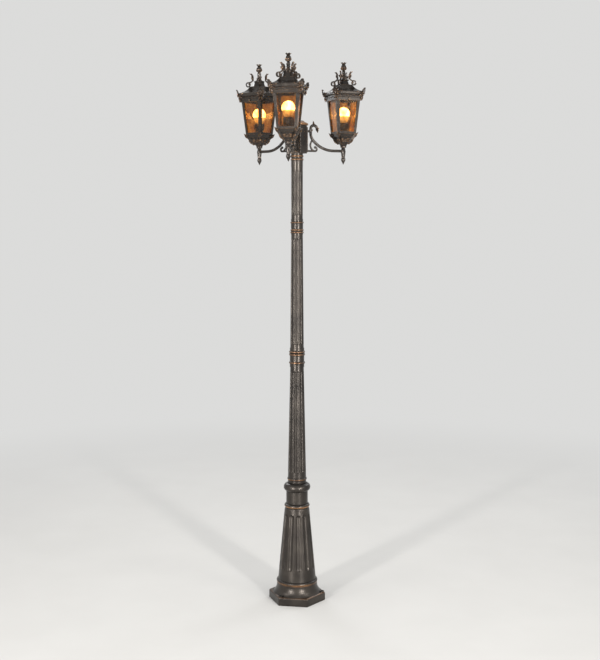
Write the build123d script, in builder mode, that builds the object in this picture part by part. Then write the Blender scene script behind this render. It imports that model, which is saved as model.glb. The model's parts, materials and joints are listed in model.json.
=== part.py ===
# Three-lantern garden lamp post of cast aluminium: fluted post, hexagonal hub, three scrolled arms.
# Millimetres, +Z up, origin on the post's axis at the underside of the base.
import os
from math import atan2, cos, hypot, radians, sin, sqrt

from build123d import *

os.makedirs("parts", exist_ok=True)

# Fits
fit_gap = 0.3
arm_angles = {"front": -90, "right": 30, "left": 150}

# Base pedestal
plinth_corner_reach = 125
plinth_height = 36
plinth_corner_round = 5
plinth_edge_round = 7
plinth_hollow_reach = 94
bolt_circle_reach = 111
bolt_hole_reach = 5.5
bolt_boss_reach = 9.5
bolt_boss_height = 4
skirt_foot_reach = 104
skirt_waist_reach = 88
skirt_height = 34
skirt_flare_radius = 51
skirt_bead_reach = 89.5
skirt_bead_height = 16
pedestal_foot_reach = 82.5
pedestal_head_reach = 54
pedestal_length = 310
pedestal_wall = 9
pedestal_neck_reach = 47
pedestal_neck_length = 80
neck_ring_reach = 55
neck_ring_height = 17
cushion_reach = 58
cushion_height = 36
cushion_seat_height = 4

# Post sections, from the foot up
spigot_length = 20
spigot_wall = 4
lower_shaft_length = 504
lower_shaft_foot_reach = 40
lower_shaft_head_reach = 29.2
lower_shaft_wall = 8
foot_collar_reach = 42.5
foot_collar_height = 14
foot_collar_rise = 15
lower_coupling_length = 82
lower_coupling_reach = 31
lower_coupling_bead_reach = 34.5
lower_coupling_bead_height = 11
lower_coupling_beads = (0.23, 0.66, 0.8)
middle_shaft_length = 485
middle_shaft_foot_reach = 29
middle_shaft_head_reach = 24.8
middle_shaft_wall = 7
upper_coupling_length = 65
upper_coupling_reach = 25.8
upper_coupling_bead_reach = 28.5
upper_coupling_bead_height = 9
upper_coupling_beads = (0.14, 0.3, 0.78)
upper_shaft_length = 220
upper_shaft_reach = 24.5
upper_shaft_wall = 7
neck_collar_length = 55
neck_collar_reach = 25
neck_collar_bead_reach = 28
neck_collar_bead_height = 12
neck_collar_beads = (0.55, 0.8)
flute_count = 12
flute_cover = 0.72
flute_depth_share = 0.22
flute_margin = 16
pedestal_flute_foot_margin = 48
pedestal_flute_head_margin = 16

# Hub that carries the arms
hub_corner_reach = 42.5
hub_height = 115
hub_wall = 6
hub_edge_round = 2
cap_overhang = 5
cap_rim_height = 8
cap_height = 20
cap_top_share = 0.55
gasket_thickness = 1.5
cap_screw_shank = 2
cap_screw_head = 4.2
cap_screw_length = 24
cap_boss_reach = 5.5
terminal_width = 34
terminal_depth = 15
terminal_height = 20
earth_screw_shank = 2.5
earth_screw_head = 5
earth_screw_length = 10

# Arm casting
arm_reach = 211.3
arm_rise = 14
arm_bar_reach = 6
arm_riser_offset = 24.5
arm_sweep_radius = 123
arm_sweep_turn = 50
arm_knee_radius = 42
arm_riser = 20
hook_radius = 14
hook_turn = 165
leaf_length = 21
leaf_reach = 6.2
leaf_belly_share = 0.25
leaf_crown_share = 0.05
leaf_crown_width = 0.7
leaf_waist_share = 0.55
leaf_waist_width = 0.75
upper_leaf_length = 17
upper_leaf_reach = 4.3
upper_leaf_heading = 100
scroll_bar_reach = 4
scroll_radius = 26
scroll_turn = 130
scroll_branch_turn = 85
curl_radius = 8
curl_turn = 190
bud_reach = 5.5
lug_bar_reach = 5
plate_thickness = 6
plate_width = 34
plate_margin = 5
arm_screw_shank = 2.5
arm_screw_head = 4.6
arm_screw_head_height = 3.2
lug_drop = 21
wire_hole_reach = 4
stem_head_rise = 21
stem_foot_drop = 24
stem_reach = 10.5
stem_waist_reach = 7.5
stem_collar_reach = 12.7
stem_collar_height = 6
drop_length = 34
drop_reach = 9.5
drop_neck = 4
drop_belly = 11.5
drop_shoulder = 20.5
drop_shoulder_reach = 6.8
drop_socket_depth = 13.6

# Lantern cup
cup_foot_height = 8
cup_foot_reach = 17
cup_floor_half = 16
cup_height = 52
cup_band_height = 13
cup_wall = 4
cup_rib_thickness = 7
cup_rib_reach = 26
cup_rib_hook = 3
cup_ear_rise = 5
cup_ear_overhang = 10
cup_rib_swell = 4
cup_band_proud = 12
cup_band_flare = 7
cup_ear_root = 6
cup_band_inset = 1
cup_band_ledge = 1

# Glazed frame
frame_height = 148
frame_foot_half = 41
frame_head_half = 54.5
frame_wall = 4
frame_post_foot = 10
frame_post_head = 14
frame_rail_foot = 8
frame_rail_head = 12
pane_thickness = 3
pane_lap = 4
clip_width = 12
clip_height = 9
clip_thickness = 3

# Lampholder, nipple and lamp
nipple_reach = 5
nipple_bore = 3.4
nipple_entry = 8
nut_reach = 10
nut_height = 6
holder_reach = 19.5
holder_foot_reach = 11.7
holder_waist_reach = 16.6
holder_shoulder = 4
holder_length = 56
holder_rise = 33
socket_reach = 13.7
socket_depth = 27
cap_shell_reach = 13.1
cap_shell_length = 25
cap_pip_reach = 4.5
housing_length = 28
housing_swell = 1.8
globe_reach = 26.5
globe_wall = 1.8
globe_centre_rise = 11

# Roof
roof_skirt_drop = 11
roof_skirt_half = 61
roof_skirt_gap = 1
roof_brim_half = 66.5
roof_brim_height = 16
roof_brim_lip = 12
roof_brim_round = 5
roof_bead_half = 63.5
roof_bead_height = 7
roof_bead_rise = 1
roof_slope_steps = ((60, 0), (50, 4), (40.5, 10.5), (33, 18.5))
roof_slope_head_half = 28
roof_slope_height = 28
roof_bell_reach = 27.5
roof_bell_waist_reach = 23.2
roof_bell_head_reach = 21
roof_bell_height = 18
roof_ring_reach = 23.5
roof_ring_height = 5
roof_ledge = 5
roof_wall = 5
corner_leaf_drop = 18
corner_leaf_rise = 14
corner_leaf_width = 26
corner_leaf_foot_width = 9
corner_leaf_tip_width = 13
corner_leaf_curl = 7
corner_leaf_thickness = 5
roof_screw_shank = 2
roof_screw_head = 4.6
roof_screw_head_height = 5
volute_reach = 8.5
volute_band = 5
volute_drop = 15.5
volute_turn = 285
volute_out = 21
roof_scroll_thickness = 8
scroll_leaf_rise = 34
scroll_leaf_lean = 8
scroll_leaf_width = 9.5
scroll_leaf_thickness = 6
finial_height = 71
finial_foot_reach = 15
finial_neck_reach = 6
finial_ring_reach = 8.5
finial_vase_reach = 8.5
finial_waist_reach = 4.8
finial_bud_reach = 12
finial_throat_reach = 6
finial_crown_reach = 13
finial_foot_head = 2
finial_neck_rise = 15
finial_ring_rise = 18
finial_vase_foot = 21
finial_vase_belly = 29
finial_waist_rise = 39
finial_bud_belly = 50
finial_throat_rise = 62
finial_dish_depth = 5
finial_spigot_reach = 4
finial_point_count = 6
finial_point_gap = 3.8
finial_point_depth = 5

# Levels of the post worked out from the lengths
skirt_head_level = plinth_height + skirt_height
bead_level = skirt_head_level + skirt_bead_height
pedestal_foot_level = bead_level + skirt_bead_height / 2
pedestal_head_level = pedestal_foot_level + pedestal_length
neck_ring_level = pedestal_head_level + neck_ring_height
cushion_level = pedestal_head_level + pedestal_neck_length + cushion_height / 2
lower_shaft_level = cushion_level + cushion_height / 2 + cushion_seat_height
lower_coupling_level = lower_shaft_level + lower_shaft_length
middle_shaft_level = lower_coupling_level + lower_coupling_length
upper_coupling_level = middle_shaft_level + middle_shaft_length
upper_shaft_level = upper_coupling_level + upper_coupling_length
neck_collar_level = upper_shaft_level + upper_shaft_length
hub_level = neck_collar_level + neck_collar_length
hub_head_level = hub_level + hub_height
cap_level = hub_head_level + gasket_thickness
hub_flat_reach = hub_corner_reach * cos(radians(30))

# Levels of the arms and lanterns
arm_level = hub_level + arm_rise
stem_head_level = arm_level + stem_head_rise
stem_foot_level = arm_level - stem_foot_drop
cup_floor_level = stem_head_level + cup_foot_height
frame_level = stem_head_level + cup_height
frame_head_level = frame_level + frame_height
frame_lean = (frame_head_half - frame_foot_half) / frame_height
holder_level = cup_floor_level + holder_rise
holder_head_level = holder_level + holder_length
socket_floor_level = holder_head_level - socket_depth
housing_level = holder_head_level + fit_gap
globe_foot_level = housing_level + housing_length
globe_centre_level = globe_foot_level + globe_centre_rise
roof_seat_level = frame_head_level + fit_gap
roof_foot_level = roof_seat_level - roof_skirt_drop
brim_level = roof_seat_level + roof_brim_lip
slope_level = brim_level + roof_brim_height
bell_level = slope_level + roof_slope_height
roof_ring_level = bell_level + roof_bell_height
finial_level = roof_ring_level + roof_ring_height


def write_node(piece, name):
    piece.label = name
    export_step(piece, f"parts/{name}.step")


def write_on_arms(piece, name, reach):
    for side, angle in arm_angles.items():
        place = Location((0, 0, 0), (0, 0, angle)) * Location((reach, 0, 0))
        write_node(piece.moved(place), f"{name}_{side}")


# Cutter for one flute: a tapered round bar with ball ends, leaning with the face that it cuts
def flute_cutter(foot_level, foot_reach, head_level, head_reach):
    foot_width = 2 * sin(radians(180 / flute_count)) * foot_reach * flute_cover
    head_width = 2 * sin(radians(180 / flute_count)) * head_reach * flute_cover
    round_share = (0.25 + flute_depth_share**2) / (2 * flute_depth_share)
    foot_round = foot_width * round_share
    head_round = head_width * round_share
    foot_axis = foot_reach + foot_round - foot_width * flute_depth_share
    head_axis = head_reach + head_round - head_width * flute_depth_share
    foot_point = (foot_axis, foot_level + foot_width / 2)
    head_point = (head_axis, head_level - head_width / 2)
    run = hypot(head_point[0] - foot_point[0], head_point[1] - foot_point[1])
    lean = atan2(foot_point[0] - head_point[0], head_point[1] - foot_point[1])
    along = Plane((foot_point[0], 0, foot_point[1]), x_dir=(cos(lean), 0, sin(lean)), z_dir=(0, -1, 0))
    with BuildPart() as cutter:
        with BuildSketch(along):
            with BuildLine():
                CenterArc((0, 0), foot_round, -90, 90)
                Line((foot_round, 0), (head_round, run))
                CenterArc((0, run), head_round, 0, 90)
                Line((0, run + head_round), (0, -foot_round))
            make_face()
        revolve(axis=Axis(along.origin, along.y_dir))
    return cutter.part


# Hollow fluted section with a plain socket at each end
def fluted_shaft(level, length, foot_reach, head_reach, wall, foot_plain):
    head_level = level + length
    foot_bore = foot_reach - wall
    head_bore = head_reach - wall
    slope = (foot_reach - head_reach) / length
    first = level + foot_plain
    last = head_level - flute_margin
    cutter = flute_cutter(first, foot_reach - slope * foot_plain, last, head_reach + slope * flute_margin)
    socket = spigot_length + fit_gap
    with BuildPart() as shaft:
        with BuildSketch(Plane.XZ):
            with BuildLine():
                Polyline(
                    (foot_bore, level),
                    (foot_reach, level),
                    (head_reach, head_level),
                    (head_bore, head_level),
                    (head_bore, head_level - socket),
                    (foot_bore, level + socket),
                    close=True,
                )
            make_face()
        revolve(axis=Axis.Z)
        with PolarLocations(0, flute_count, start_angle=180 / flute_count):
            add(cutter, mode=Mode.SUBTRACT)
    return shaft.part


# Turned ring piece with a spigot below and above and a row of beads
def coupling(level, length, reach, beads, bead_reach, bead_height, lower_bore, upper_bore):
    lower_spigot = lower_bore - fit_gap
    upper_spigot = upper_bore - fit_gap
    bore = min(lower_spigot, upper_spigot) - spigot_wall
    head_level = level + length
    bead_round = bead_height / 2
    with BuildPart() as ring:
        with BuildSketch(Plane.XZ):
            with BuildLine():
                Polyline(
                    (bore, level - spigot_length),
                    (lower_spigot, level - spigot_length),
                    (lower_spigot, level),
                    (reach, level),
                    (reach, head_level),
                    (upper_spigot, head_level),
                    (upper_spigot, head_level + spigot_length),
                    (bore, head_level + spigot_length),
                    close=True,
                )
            make_face()
        revolve(axis=Axis.Z)
        with Locations(*[(0, 0, level + share * length) for share in beads]):
            Torus(bead_reach - bead_round, bead_round)
    return ring.part


# Base: hexagonal plinth, flared skirt, fluted pedestal, ringed neck and cushion, hollow and open below
lower_shaft_bore = lower_shaft_foot_reach - lower_shaft_wall
base_spigot = lower_shaft_bore - fit_gap
base_bore = base_spigot - spigot_wall
neck_bore = pedestal_neck_reach - pedestal_wall
pedestal_slope = (pedestal_foot_reach - pedestal_head_reach) / pedestal_length
pedestal_cutter = flute_cutter(
    pedestal_foot_level + pedestal_flute_foot_margin,
    pedestal_foot_reach - pedestal_slope * pedestal_flute_foot_margin,
    pedestal_head_level - pedestal_flute_head_margin,
    pedestal_head_reach + pedestal_slope * pedestal_flute_head_margin,
)
with BuildPart() as base_pedestal:
    with BuildSketch():
        RegularPolygon(radius=plinth_corner_reach, side_count=6)
        fillet(vertices(), radius=plinth_corner_round)
    extrude(amount=plinth_height)
    fillet(faces().sort_by(Axis.Z)[-1].edges(), radius=plinth_edge_round)
    with BuildSketch(Plane.XZ):
        with BuildLine():
            Line((0, plinth_height / 2), (skirt_foot_reach, plinth_height / 2))
            Line((skirt_foot_reach, plinth_height / 2), (skirt_foot_reach, plinth_height))
            RadiusArc(
                (skirt_foot_reach, plinth_height),
                (skirt_waist_reach, skirt_head_level),
                radius=skirt_flare_radius,
            )
            Polyline(
                (skirt_waist_reach, skirt_head_level),
                (skirt_waist_reach, bead_level),
                (pedestal_foot_reach, pedestal_foot_level),
                (pedestal_head_reach, pedestal_head_level),
                (pedestal_neck_reach, neck_ring_level),
                (pedestal_neck_reach, cushion_level),
                (lower_shaft_foot_reach - fit_gap, cushion_level),
                (lower_shaft_foot_reach - fit_gap, lower_shaft_level),
                (base_spigot, lower_shaft_level),
                (base_spigot, lower_shaft_level + spigot_length),
                (0, lower_shaft_level + spigot_length),
                (0, plinth_height / 2),
            )
        make_face()
    revolve(axis=Axis.Z)
    with Locations((0, 0, bead_level)):
        Torus(skirt_bead_reach - skirt_bead_height / 2, skirt_bead_height / 2)
    with Locations((0, 0, neck_ring_level)):
        Torus(neck_ring_reach - neck_ring_height / 2, neck_ring_height / 2)
    with Locations((0, 0, cushion_level)):
        Torus(cushion_reach - cushion_height / 2, cushion_height / 2)
    with PolarLocations(0, flute_count, start_angle=180 / flute_count):
        add(pedestal_cutter, mode=Mode.SUBTRACT)
    with PolarLocations(bolt_circle_reach, 3):
        Cylinder(
            bolt_boss_reach,
            plinth_height + bolt_boss_height,
            align=(Align.CENTER, Align.CENTER, Align.MIN),
        )
        Cylinder(
            bolt_hole_reach,
            3 * plinth_height,
            mode=Mode.SUBTRACT,
        )
    with BuildSketch(Plane.XZ):
        with BuildLine():
            Polyline(
                (0, 0),
                (plinth_hollow_reach, 0),
                (skirt_waist_reach - pedestal_wall, skirt_head_level),
                (pedestal_foot_reach - pedestal_wall, pedestal_foot_level),
                (pedestal_head_reach - pedestal_wall, pedestal_head_level),
                (neck_bore, neck_ring_level),
                (neck_bore, cushion_level - cushion_height / 2),
                (base_bore, cushion_level),
                (base_bore, lower_shaft_level + spigot_length),
                (0, lower_shaft_level + spigot_length),
                close=True,
            )
        make_face()
    revolve(axis=Axis.Z, mode=Mode.SUBTRACT)
write_node(base_pedestal.part, "base_pedestal")

# Lower shaft with a turned collar at its foot
lower_shaft_body = fluted_shaft(
    lower_shaft_level,
    lower_shaft_length,
    lower_shaft_foot_reach,
    lower_shaft_head_reach,
    lower_shaft_wall,
    foot_collar_rise + foot_collar_height + flute_margin,
)
with BuildPart() as lower_shaft:
    add(lower_shaft_body)
    with Locations((0, 0, lower_shaft_level + foot_collar_rise)):
        Torus(foot_collar_reach - foot_collar_height / 2, foot_collar_height / 2)
    Cylinder(
        lower_shaft_bore,
        2 * (lower_shaft_level + spigot_length + fit_gap),
        mode=Mode.SUBTRACT,
    )
write_node(lower_shaft.part, "lower_shaft")

# Middle and upper shafts
middle_shaft = fluted_shaft(
    middle_shaft_level,
    middle_shaft_length,
    middle_shaft_foot_reach,
    middle_shaft_head_reach,
    middle_shaft_wall,
    flute_margin,
)
write_node(middle_shaft, "middle_shaft")
upper_shaft = fluted_shaft(
    upper_shaft_level,
    upper_shaft_length,
    upper_shaft_reach,
    upper_shaft_reach,
    upper_shaft_wall,
    flute_margin,
)
write_node(upper_shaft, "upper_shaft")

# Couplings between the sections and the collar under the hub
lower_coupling = coupling(
    lower_coupling_level,
    lower_coupling_length,
    lower_coupling_reach,
    lower_coupling_beads,
    lower_coupling_bead_reach,
    lower_coupling_bead_height,
    lower_shaft_head_reach - lower_shaft_wall,
    middle_shaft_foot_reach - middle_shaft_wall,
)
write_node(lower_coupling, "lower_coupling")
upper_coupling = coupling(
    upper_coupling_level,
    upper_coupling_length,
    upper_coupling_reach,
    upper_coupling_beads,
    upper_coupling_bead_reach,
    upper_coupling_bead_height,
    middle_shaft_head_reach - middle_shaft_wall,
    upper_shaft_reach - upper_shaft_wall,
)
write_node(upper_coupling, "upper_coupling")
hub_floor_bore = upper_shaft_reach - upper_shaft_wall + fit_gap
neck_collar_body = coupling(
    neck_collar_level,
    neck_collar_length,
    neck_collar_reach,
    neck_collar_beads,
    neck_collar_bead_reach,
    neck_collar_bead_height,
    upper_shaft_reach - upper_shaft_wall,
    hub_floor_bore,
)
with BuildPart() as neck_collar:
    add(neck_collar_body)
    with Locations((0, 0, hub_level + hub_wall)):
        Cylinder(
            hub_corner_reach,
            spigot_length,
            align=(Align.CENTER, Align.CENTER, Align.MIN),
            mode=Mode.SUBTRACT,
        )
write_node(neck_collar.part, "neck_collar")

# Hub: hexagonal box with a floor, open above, drilled for the arm screws and wires
screw_levels = (arm_level + stem_head_rise, hub_head_level - 2 * lug_drop)
lug_level = hub_head_level - lug_drop
cap_boss_place = hub_corner_reach - hub_wall / cos(radians(30)) - cap_boss_reach / 2
with BuildPart() as arm_hub:
    with BuildSketch(Plane.XY.offset(hub_level)):
        RegularPolygon(radius=hub_corner_reach, side_count=6)
        fillet(vertices(), radius=hub_edge_round)
    extrude(amount=hub_height)
    with BuildSketch(Plane.XY.offset(hub_level + hub_wall)):
        RegularPolygon(radius=hub_corner_reach - hub_wall / cos(radians(30)), side_count=6)
        with PolarLocations(cap_boss_place, 2):
            Circle(cap_boss_reach, mode=Mode.SUBTRACT)
    extrude(amount=hub_height, mode=Mode.SUBTRACT)
    with Locations((0, 0, hub_level)):
        Cylinder(hub_floor_bore, 3 * hub_wall, mode=Mode.SUBTRACT)
    with PolarLocations(cap_boss_place, 2):
        with Locations((0, 0, hub_head_level)):
            Cylinder(cap_screw_shank + fit_gap, 2 * cap_screw_length, mode=Mode.SUBTRACT)
    for angle in arm_angles.values():
        flat = Plane.XY.rotated((0, 0, angle)).location * Location((hub_flat_reach, 0, 0), (0, 90, 0))
        with BuildSketch(Plane(flat)):
            with Locations(*[(-level, 0) for level in screw_levels]):
                Circle(arm_screw_shank + fit_gap)
            with Locations((-lug_level, 0)):
                Circle(wire_hole_reach)
        extrude(amount=-1.5 * hub_wall, mode=Mode.SUBTRACT)
write_node(arm_hub.part, "arm_hub")

# Gasket and lid of the hub with two screws
with BuildPart() as hub_gasket:
    with BuildSketch(Plane.XY.offset(hub_head_level)):
        RegularPolygon(radius=hub_corner_reach - hub_edge_round, side_count=6)
        RegularPolygon(
            radius=hub_corner_reach - hub_wall / cos(radians(30)), side_count=6, mode=Mode.SUBTRACT
        )
    extrude(amount=gasket_thickness - fit_gap)
write_node(hub_gasket.part, "hub_gasket")
with BuildPart() as hub_cap:
    with BuildSketch(Plane.XY.offset(cap_level)):
        RegularPolygon(radius=hub_corner_reach + cap_overhang, side_count=6)
        fillet(vertices(), radius=hub_edge_round)
    extrude(amount=cap_rim_height)
    with BuildSketch(Plane.XY.offset(cap_level + cap_rim_height)):
        RegularPolygon(radius=hub_corner_reach + cap_overhang - hub_edge_round, side_count=6)
    with BuildSketch(Plane.XY.offset(cap_level + cap_height)):
        RegularPolygon(radius=(hub_corner_reach + cap_overhang) * cap_top_share, side_count=6)
    loft()
    with PolarLocations(cap_boss_place, 2):
        with Locations((0, 0, cap_level)):
            Cylinder(cap_screw_shank + fit_gap, 4 * cap_height, mode=Mode.SUBTRACT)
        with Locations((0, 0, cap_level + cap_rim_height)):
            Cylinder(
                cap_screw_head + fit_gap,
                cap_height,
                align=(Align.CENTER, Align.CENTER, Align.MIN),
                mode=Mode.SUBTRACT,
            )
write_node(hub_cap.part, "hub_cap")
with BuildPart() as hub_cap_screws:
    with PolarLocations(cap_boss_place, 2):
        with Locations((0, 0, cap_level + cap_rim_height)):
            Cylinder(
                cap_screw_shank, cap_screw_length, align=(Align.CENTER, Align.CENTER, Align.MAX)
            )
            Cylinder(cap_screw_head, cap_screw_head, align=(Align.CENTER, Align.CENTER, Align.MIN))
write_node(hub_cap_screws.part, "hub_cap_screws")

# Terminal block against the rear wall and an earth screw in the floor of the hub
with BuildPart() as terminal_block:
    rear_wall = hub_flat_reach - hub_wall
    with Locations((0, rear_wall, hub_level + hub_wall)):
        Box(
            terminal_width,
            terminal_depth,
            terminal_height,
            align=(Align.CENTER, Align.MAX, Align.MIN),
        )
    chamfer(terminal_block.edges().filter_by(Axis.X).group_by(Axis.Z)[-1], length=terminal_depth / 6)
    with GridLocations(terminal_width / 3, 1, 3, 1):
        with Locations((0, rear_wall - terminal_depth / 2, hub_level + hub_wall + terminal_height)):
            Cylinder(terminal_depth / 6, terminal_height / 2, mode=Mode.SUBTRACT)
write_node(terminal_block.part, "terminal_block")
with BuildPart() as earth_screw:
    with PolarLocations((hub_floor_bore + rear_wall) / 2, 1, start_angle=-150):
        with Locations((0, 0, hub_level + hub_wall)):
            Cylinder(
                earth_screw_head,
                earth_screw_head,
                align=(Align.CENTER, Align.CENTER, Align.MIN),
            )
            Cylinder(
                earth_screw_shank, earth_screw_length, align=(Align.CENTER, Align.CENTER, Align.MIN)
            )
write_node(earth_screw.part, "earth_screw")


# Drop-shaped leaf along a direction in the arm's plane
def leaf(root, heading, length, reach):
    along = (cos(radians(heading)), sin(radians(heading)))
    plane = Plane((root[0], 0, root[1]), x_dir=(-along[1], 0, along[0]), z_dir=(0, -1, 0))
    with BuildPart() as drop:
        with BuildSketch(plane):
            with BuildLine():
                Line((0, 0), (0, -length))
                ThreePointArc(
                    (0, -length),
                    (reach * leaf_waist_width, -length * leaf_waist_share),
                    (reach, -length * leaf_belly_share),
                )
                ThreePointArc(
                    (reach, -length * leaf_belly_share),
                    (reach * leaf_crown_width, -length * leaf_crown_share),
                    (0, 0),
                )
            make_face()
        revolve(axis=Axis(plane.origin, plane.y_dir))
    return drop.part


# Point reached by an arc that leaves a start point on a heading and turns by an angle, left positive
def arc_point(start, heading, radius, turn):
    side = 90 if turn > 0 else -90
    out = radians(heading + side)
    back = radians(heading + turn - side)
    return (start[0] + radius * (cos(out) + cos(back)), start[1] + radius * (sin(out) + sin(back)))


# Arc of that kind, drawn in the current line builder
def turning_arc(start, heading, radius, turn):
    end = arc_point(start, heading, radius, turn)
    ThreePointArc(start, arc_point(start, heading, radius, turn / 2), end)
    return end


# Arm: swept bar with a hooked end and leaves, scroll bracket, hub plate and the lantern's stem
plate_reach = hub_flat_reach + plate_thickness
inward = 180
knee_heading = inward - arm_sweep_turn
sweep_run = arc_point((0, 0), inward, arm_sweep_radius, -arm_sweep_turn)
knee_run = arc_point(sweep_run, knee_heading, arm_knee_radius, 90 - knee_heading)
bend_start = (hub_flat_reach + arm_riser_offset - knee_run[0], arm_level)
knee_start = arc_point(bend_start, inward, arm_sweep_radius, -arm_sweep_turn)
riser_foot = arc_point(knee_start, knee_heading, arm_knee_radius, 90 - knee_heading)
hook_start = (riser_foot[0], riser_foot[1] + arm_riser)
hook_end = arc_point(hook_start, 90, hook_radius, -hook_turn)
hook_crown = arc_point(hook_start, 90, hook_radius, -90)
scroll_heading = knee_heading + scroll_branch_turn
curl_heading = scroll_heading + scroll_turn
scroll_end = arc_point(knee_start, scroll_heading, scroll_radius, scroll_turn)
curl_end = arc_point(scroll_end, curl_heading, curl_radius, curl_turn)
hanging_leaf = leaf(hook_end, 90 - hook_turn, leaf_length, leaf_reach)
upper_leaf_root = (hook_crown[0], hook_crown[1] + arm_bar_reach / 2)
upper_leaf = leaf(upper_leaf_root, upper_leaf_heading, upper_leaf_length, upper_leaf_reach)
stem_collar_level = stem_head_level - stem_collar_height
with BuildPart() as arm:
    with BuildLine(Plane.XZ):
        Line((arm_reach, arm_level), bend_start)
        turning_arc(bend_start, inward, arm_sweep_radius, -arm_sweep_turn)
        turning_arc(knee_start, knee_heading, arm_knee_radius, 90 - knee_heading)
        Line(riser_foot, hook_start)
        turning_arc(hook_start, 90, hook_radius, -hook_turn)
    with BuildSketch(Plane((arm_reach, 0, arm_level), z_dir=(-1, 0, 0))):
        Circle(arm_bar_reach)
    sweep()
    with BuildLine(Plane.XZ):
        turning_arc(knee_start, scroll_heading, scroll_radius, scroll_turn)
        turning_arc(scroll_end, curl_heading, curl_radius, curl_turn)
    leaving = (cos(radians(scroll_heading)), 0, sin(radians(scroll_heading)))
    with BuildSketch(Plane((knee_start[0], 0, knee_start[1]), z_dir=leaving)):
        Circle(scroll_bar_reach)
    sweep()
    add(hanging_leaf)
    add(upper_leaf)
    with Locations((curl_end[0], 0, curl_end[1])):
        Sphere(bud_reach)
    with Locations((hub_flat_reach, 0, hub_level + plate_margin)):
        Box(
            plate_thickness,
            plate_width,
            hub_height - 2 * plate_margin,
            align=(Align.MIN, Align.CENTER, Align.MIN),
        )
    with BuildSketch(Plane((hub_flat_reach, 0, 0), x_dir=(0, 1, 0), z_dir=(1, 0, 0))):
        with Locations((0, lug_level)):
            Circle(lug_bar_reach)
    extrude(amount=riser_foot[0] - hub_flat_reach)
    with BuildSketch(Plane((hub_flat_reach, 0, 0), x_dir=(0, 1, 0), z_dir=(1, 0, 0))):
        with Locations((0, scroll_end[1])):
            Circle(scroll_bar_reach)
    extrude(amount=scroll_end[0] - hub_flat_reach)
    with BuildSketch(Plane.XZ):
        with BuildLine():
            Polyline(
                (arm_reach, stem_foot_level),
                (arm_reach + stem_waist_reach, stem_foot_level),
                (arm_reach + stem_reach, arm_level),
                (arm_reach + stem_waist_reach, stem_collar_level),
                (arm_reach + stem_collar_reach, stem_collar_level),
                (arm_reach + stem_collar_reach, stem_head_level),
                (arm_reach, stem_head_level),
                close=True,
            )
        make_face()
    revolve(axis=Axis((arm_reach, 0, 0), (0, 0, 1)))
    with Locations((arm_reach, 0, arm_level)):
        Cylinder(nipple_reach + fit_gap, 4 * stem_head_rise, mode=Mode.SUBTRACT)
    with BuildSketch(Plane((hub_flat_reach, 0, 0), x_dir=(0, 1, 0), z_dir=(1, 0, 0))):
        with Locations(*[(0, level) for level in screw_levels]):
            Circle(arm_screw_shank + fit_gap)
    extrude(amount=plate_thickness, mode=Mode.SUBTRACT)
write_on_arms(arm.part, "arm", 0)

# Two pan-head screws for each arm, as one group
with BuildPart() as arm_screws:
    for angle in arm_angles.values():
        flat = Plane.XY.rotated((0, 0, angle)).location * Location((plate_reach, 0, 0), (0, 90, 0))
        with BuildSketch(Plane(flat)):
            with Locations(*[(-level, 0) for level in screw_levels]):
                Circle(arm_screw_shank)
        extrude(amount=-plate_thickness - hub_wall)
        with BuildSketch(Plane(flat)):
            with Locations(*[(-level, 0) for level in screw_levels]):
                Circle(arm_screw_head)
        extrude(amount=arm_screw_head_height)
write_node(arm_screws.part, "arm_screws")

# Drop finial that screws onto the nipple under the stem
with BuildPart() as drop_finial:
    with BuildSketch(Plane.XZ):
        with BuildLine():
            ThreePointArc(
                (stem_waist_reach, stem_foot_level - drop_neck),
                (drop_reach, stem_foot_level - drop_belly),
                (drop_shoulder_reach, stem_foot_level - drop_shoulder),
            )
            Polyline(
                (drop_shoulder_reach, stem_foot_level - drop_shoulder),
                (0, stem_foot_level - drop_length),
                (0, stem_foot_level),
                (stem_waist_reach, stem_foot_level),
                (stem_waist_reach, stem_foot_level - drop_neck),
            )
        make_face()
    revolve(axis=Axis.Z)
    with Locations((0, 0, stem_foot_level)):
        Cylinder(nipple_reach + fit_gap, 2 * drop_socket_depth, mode=Mode.SUBTRACT)
write_on_arms(drop_finial.part, "drop_finial", arm_reach)

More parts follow.
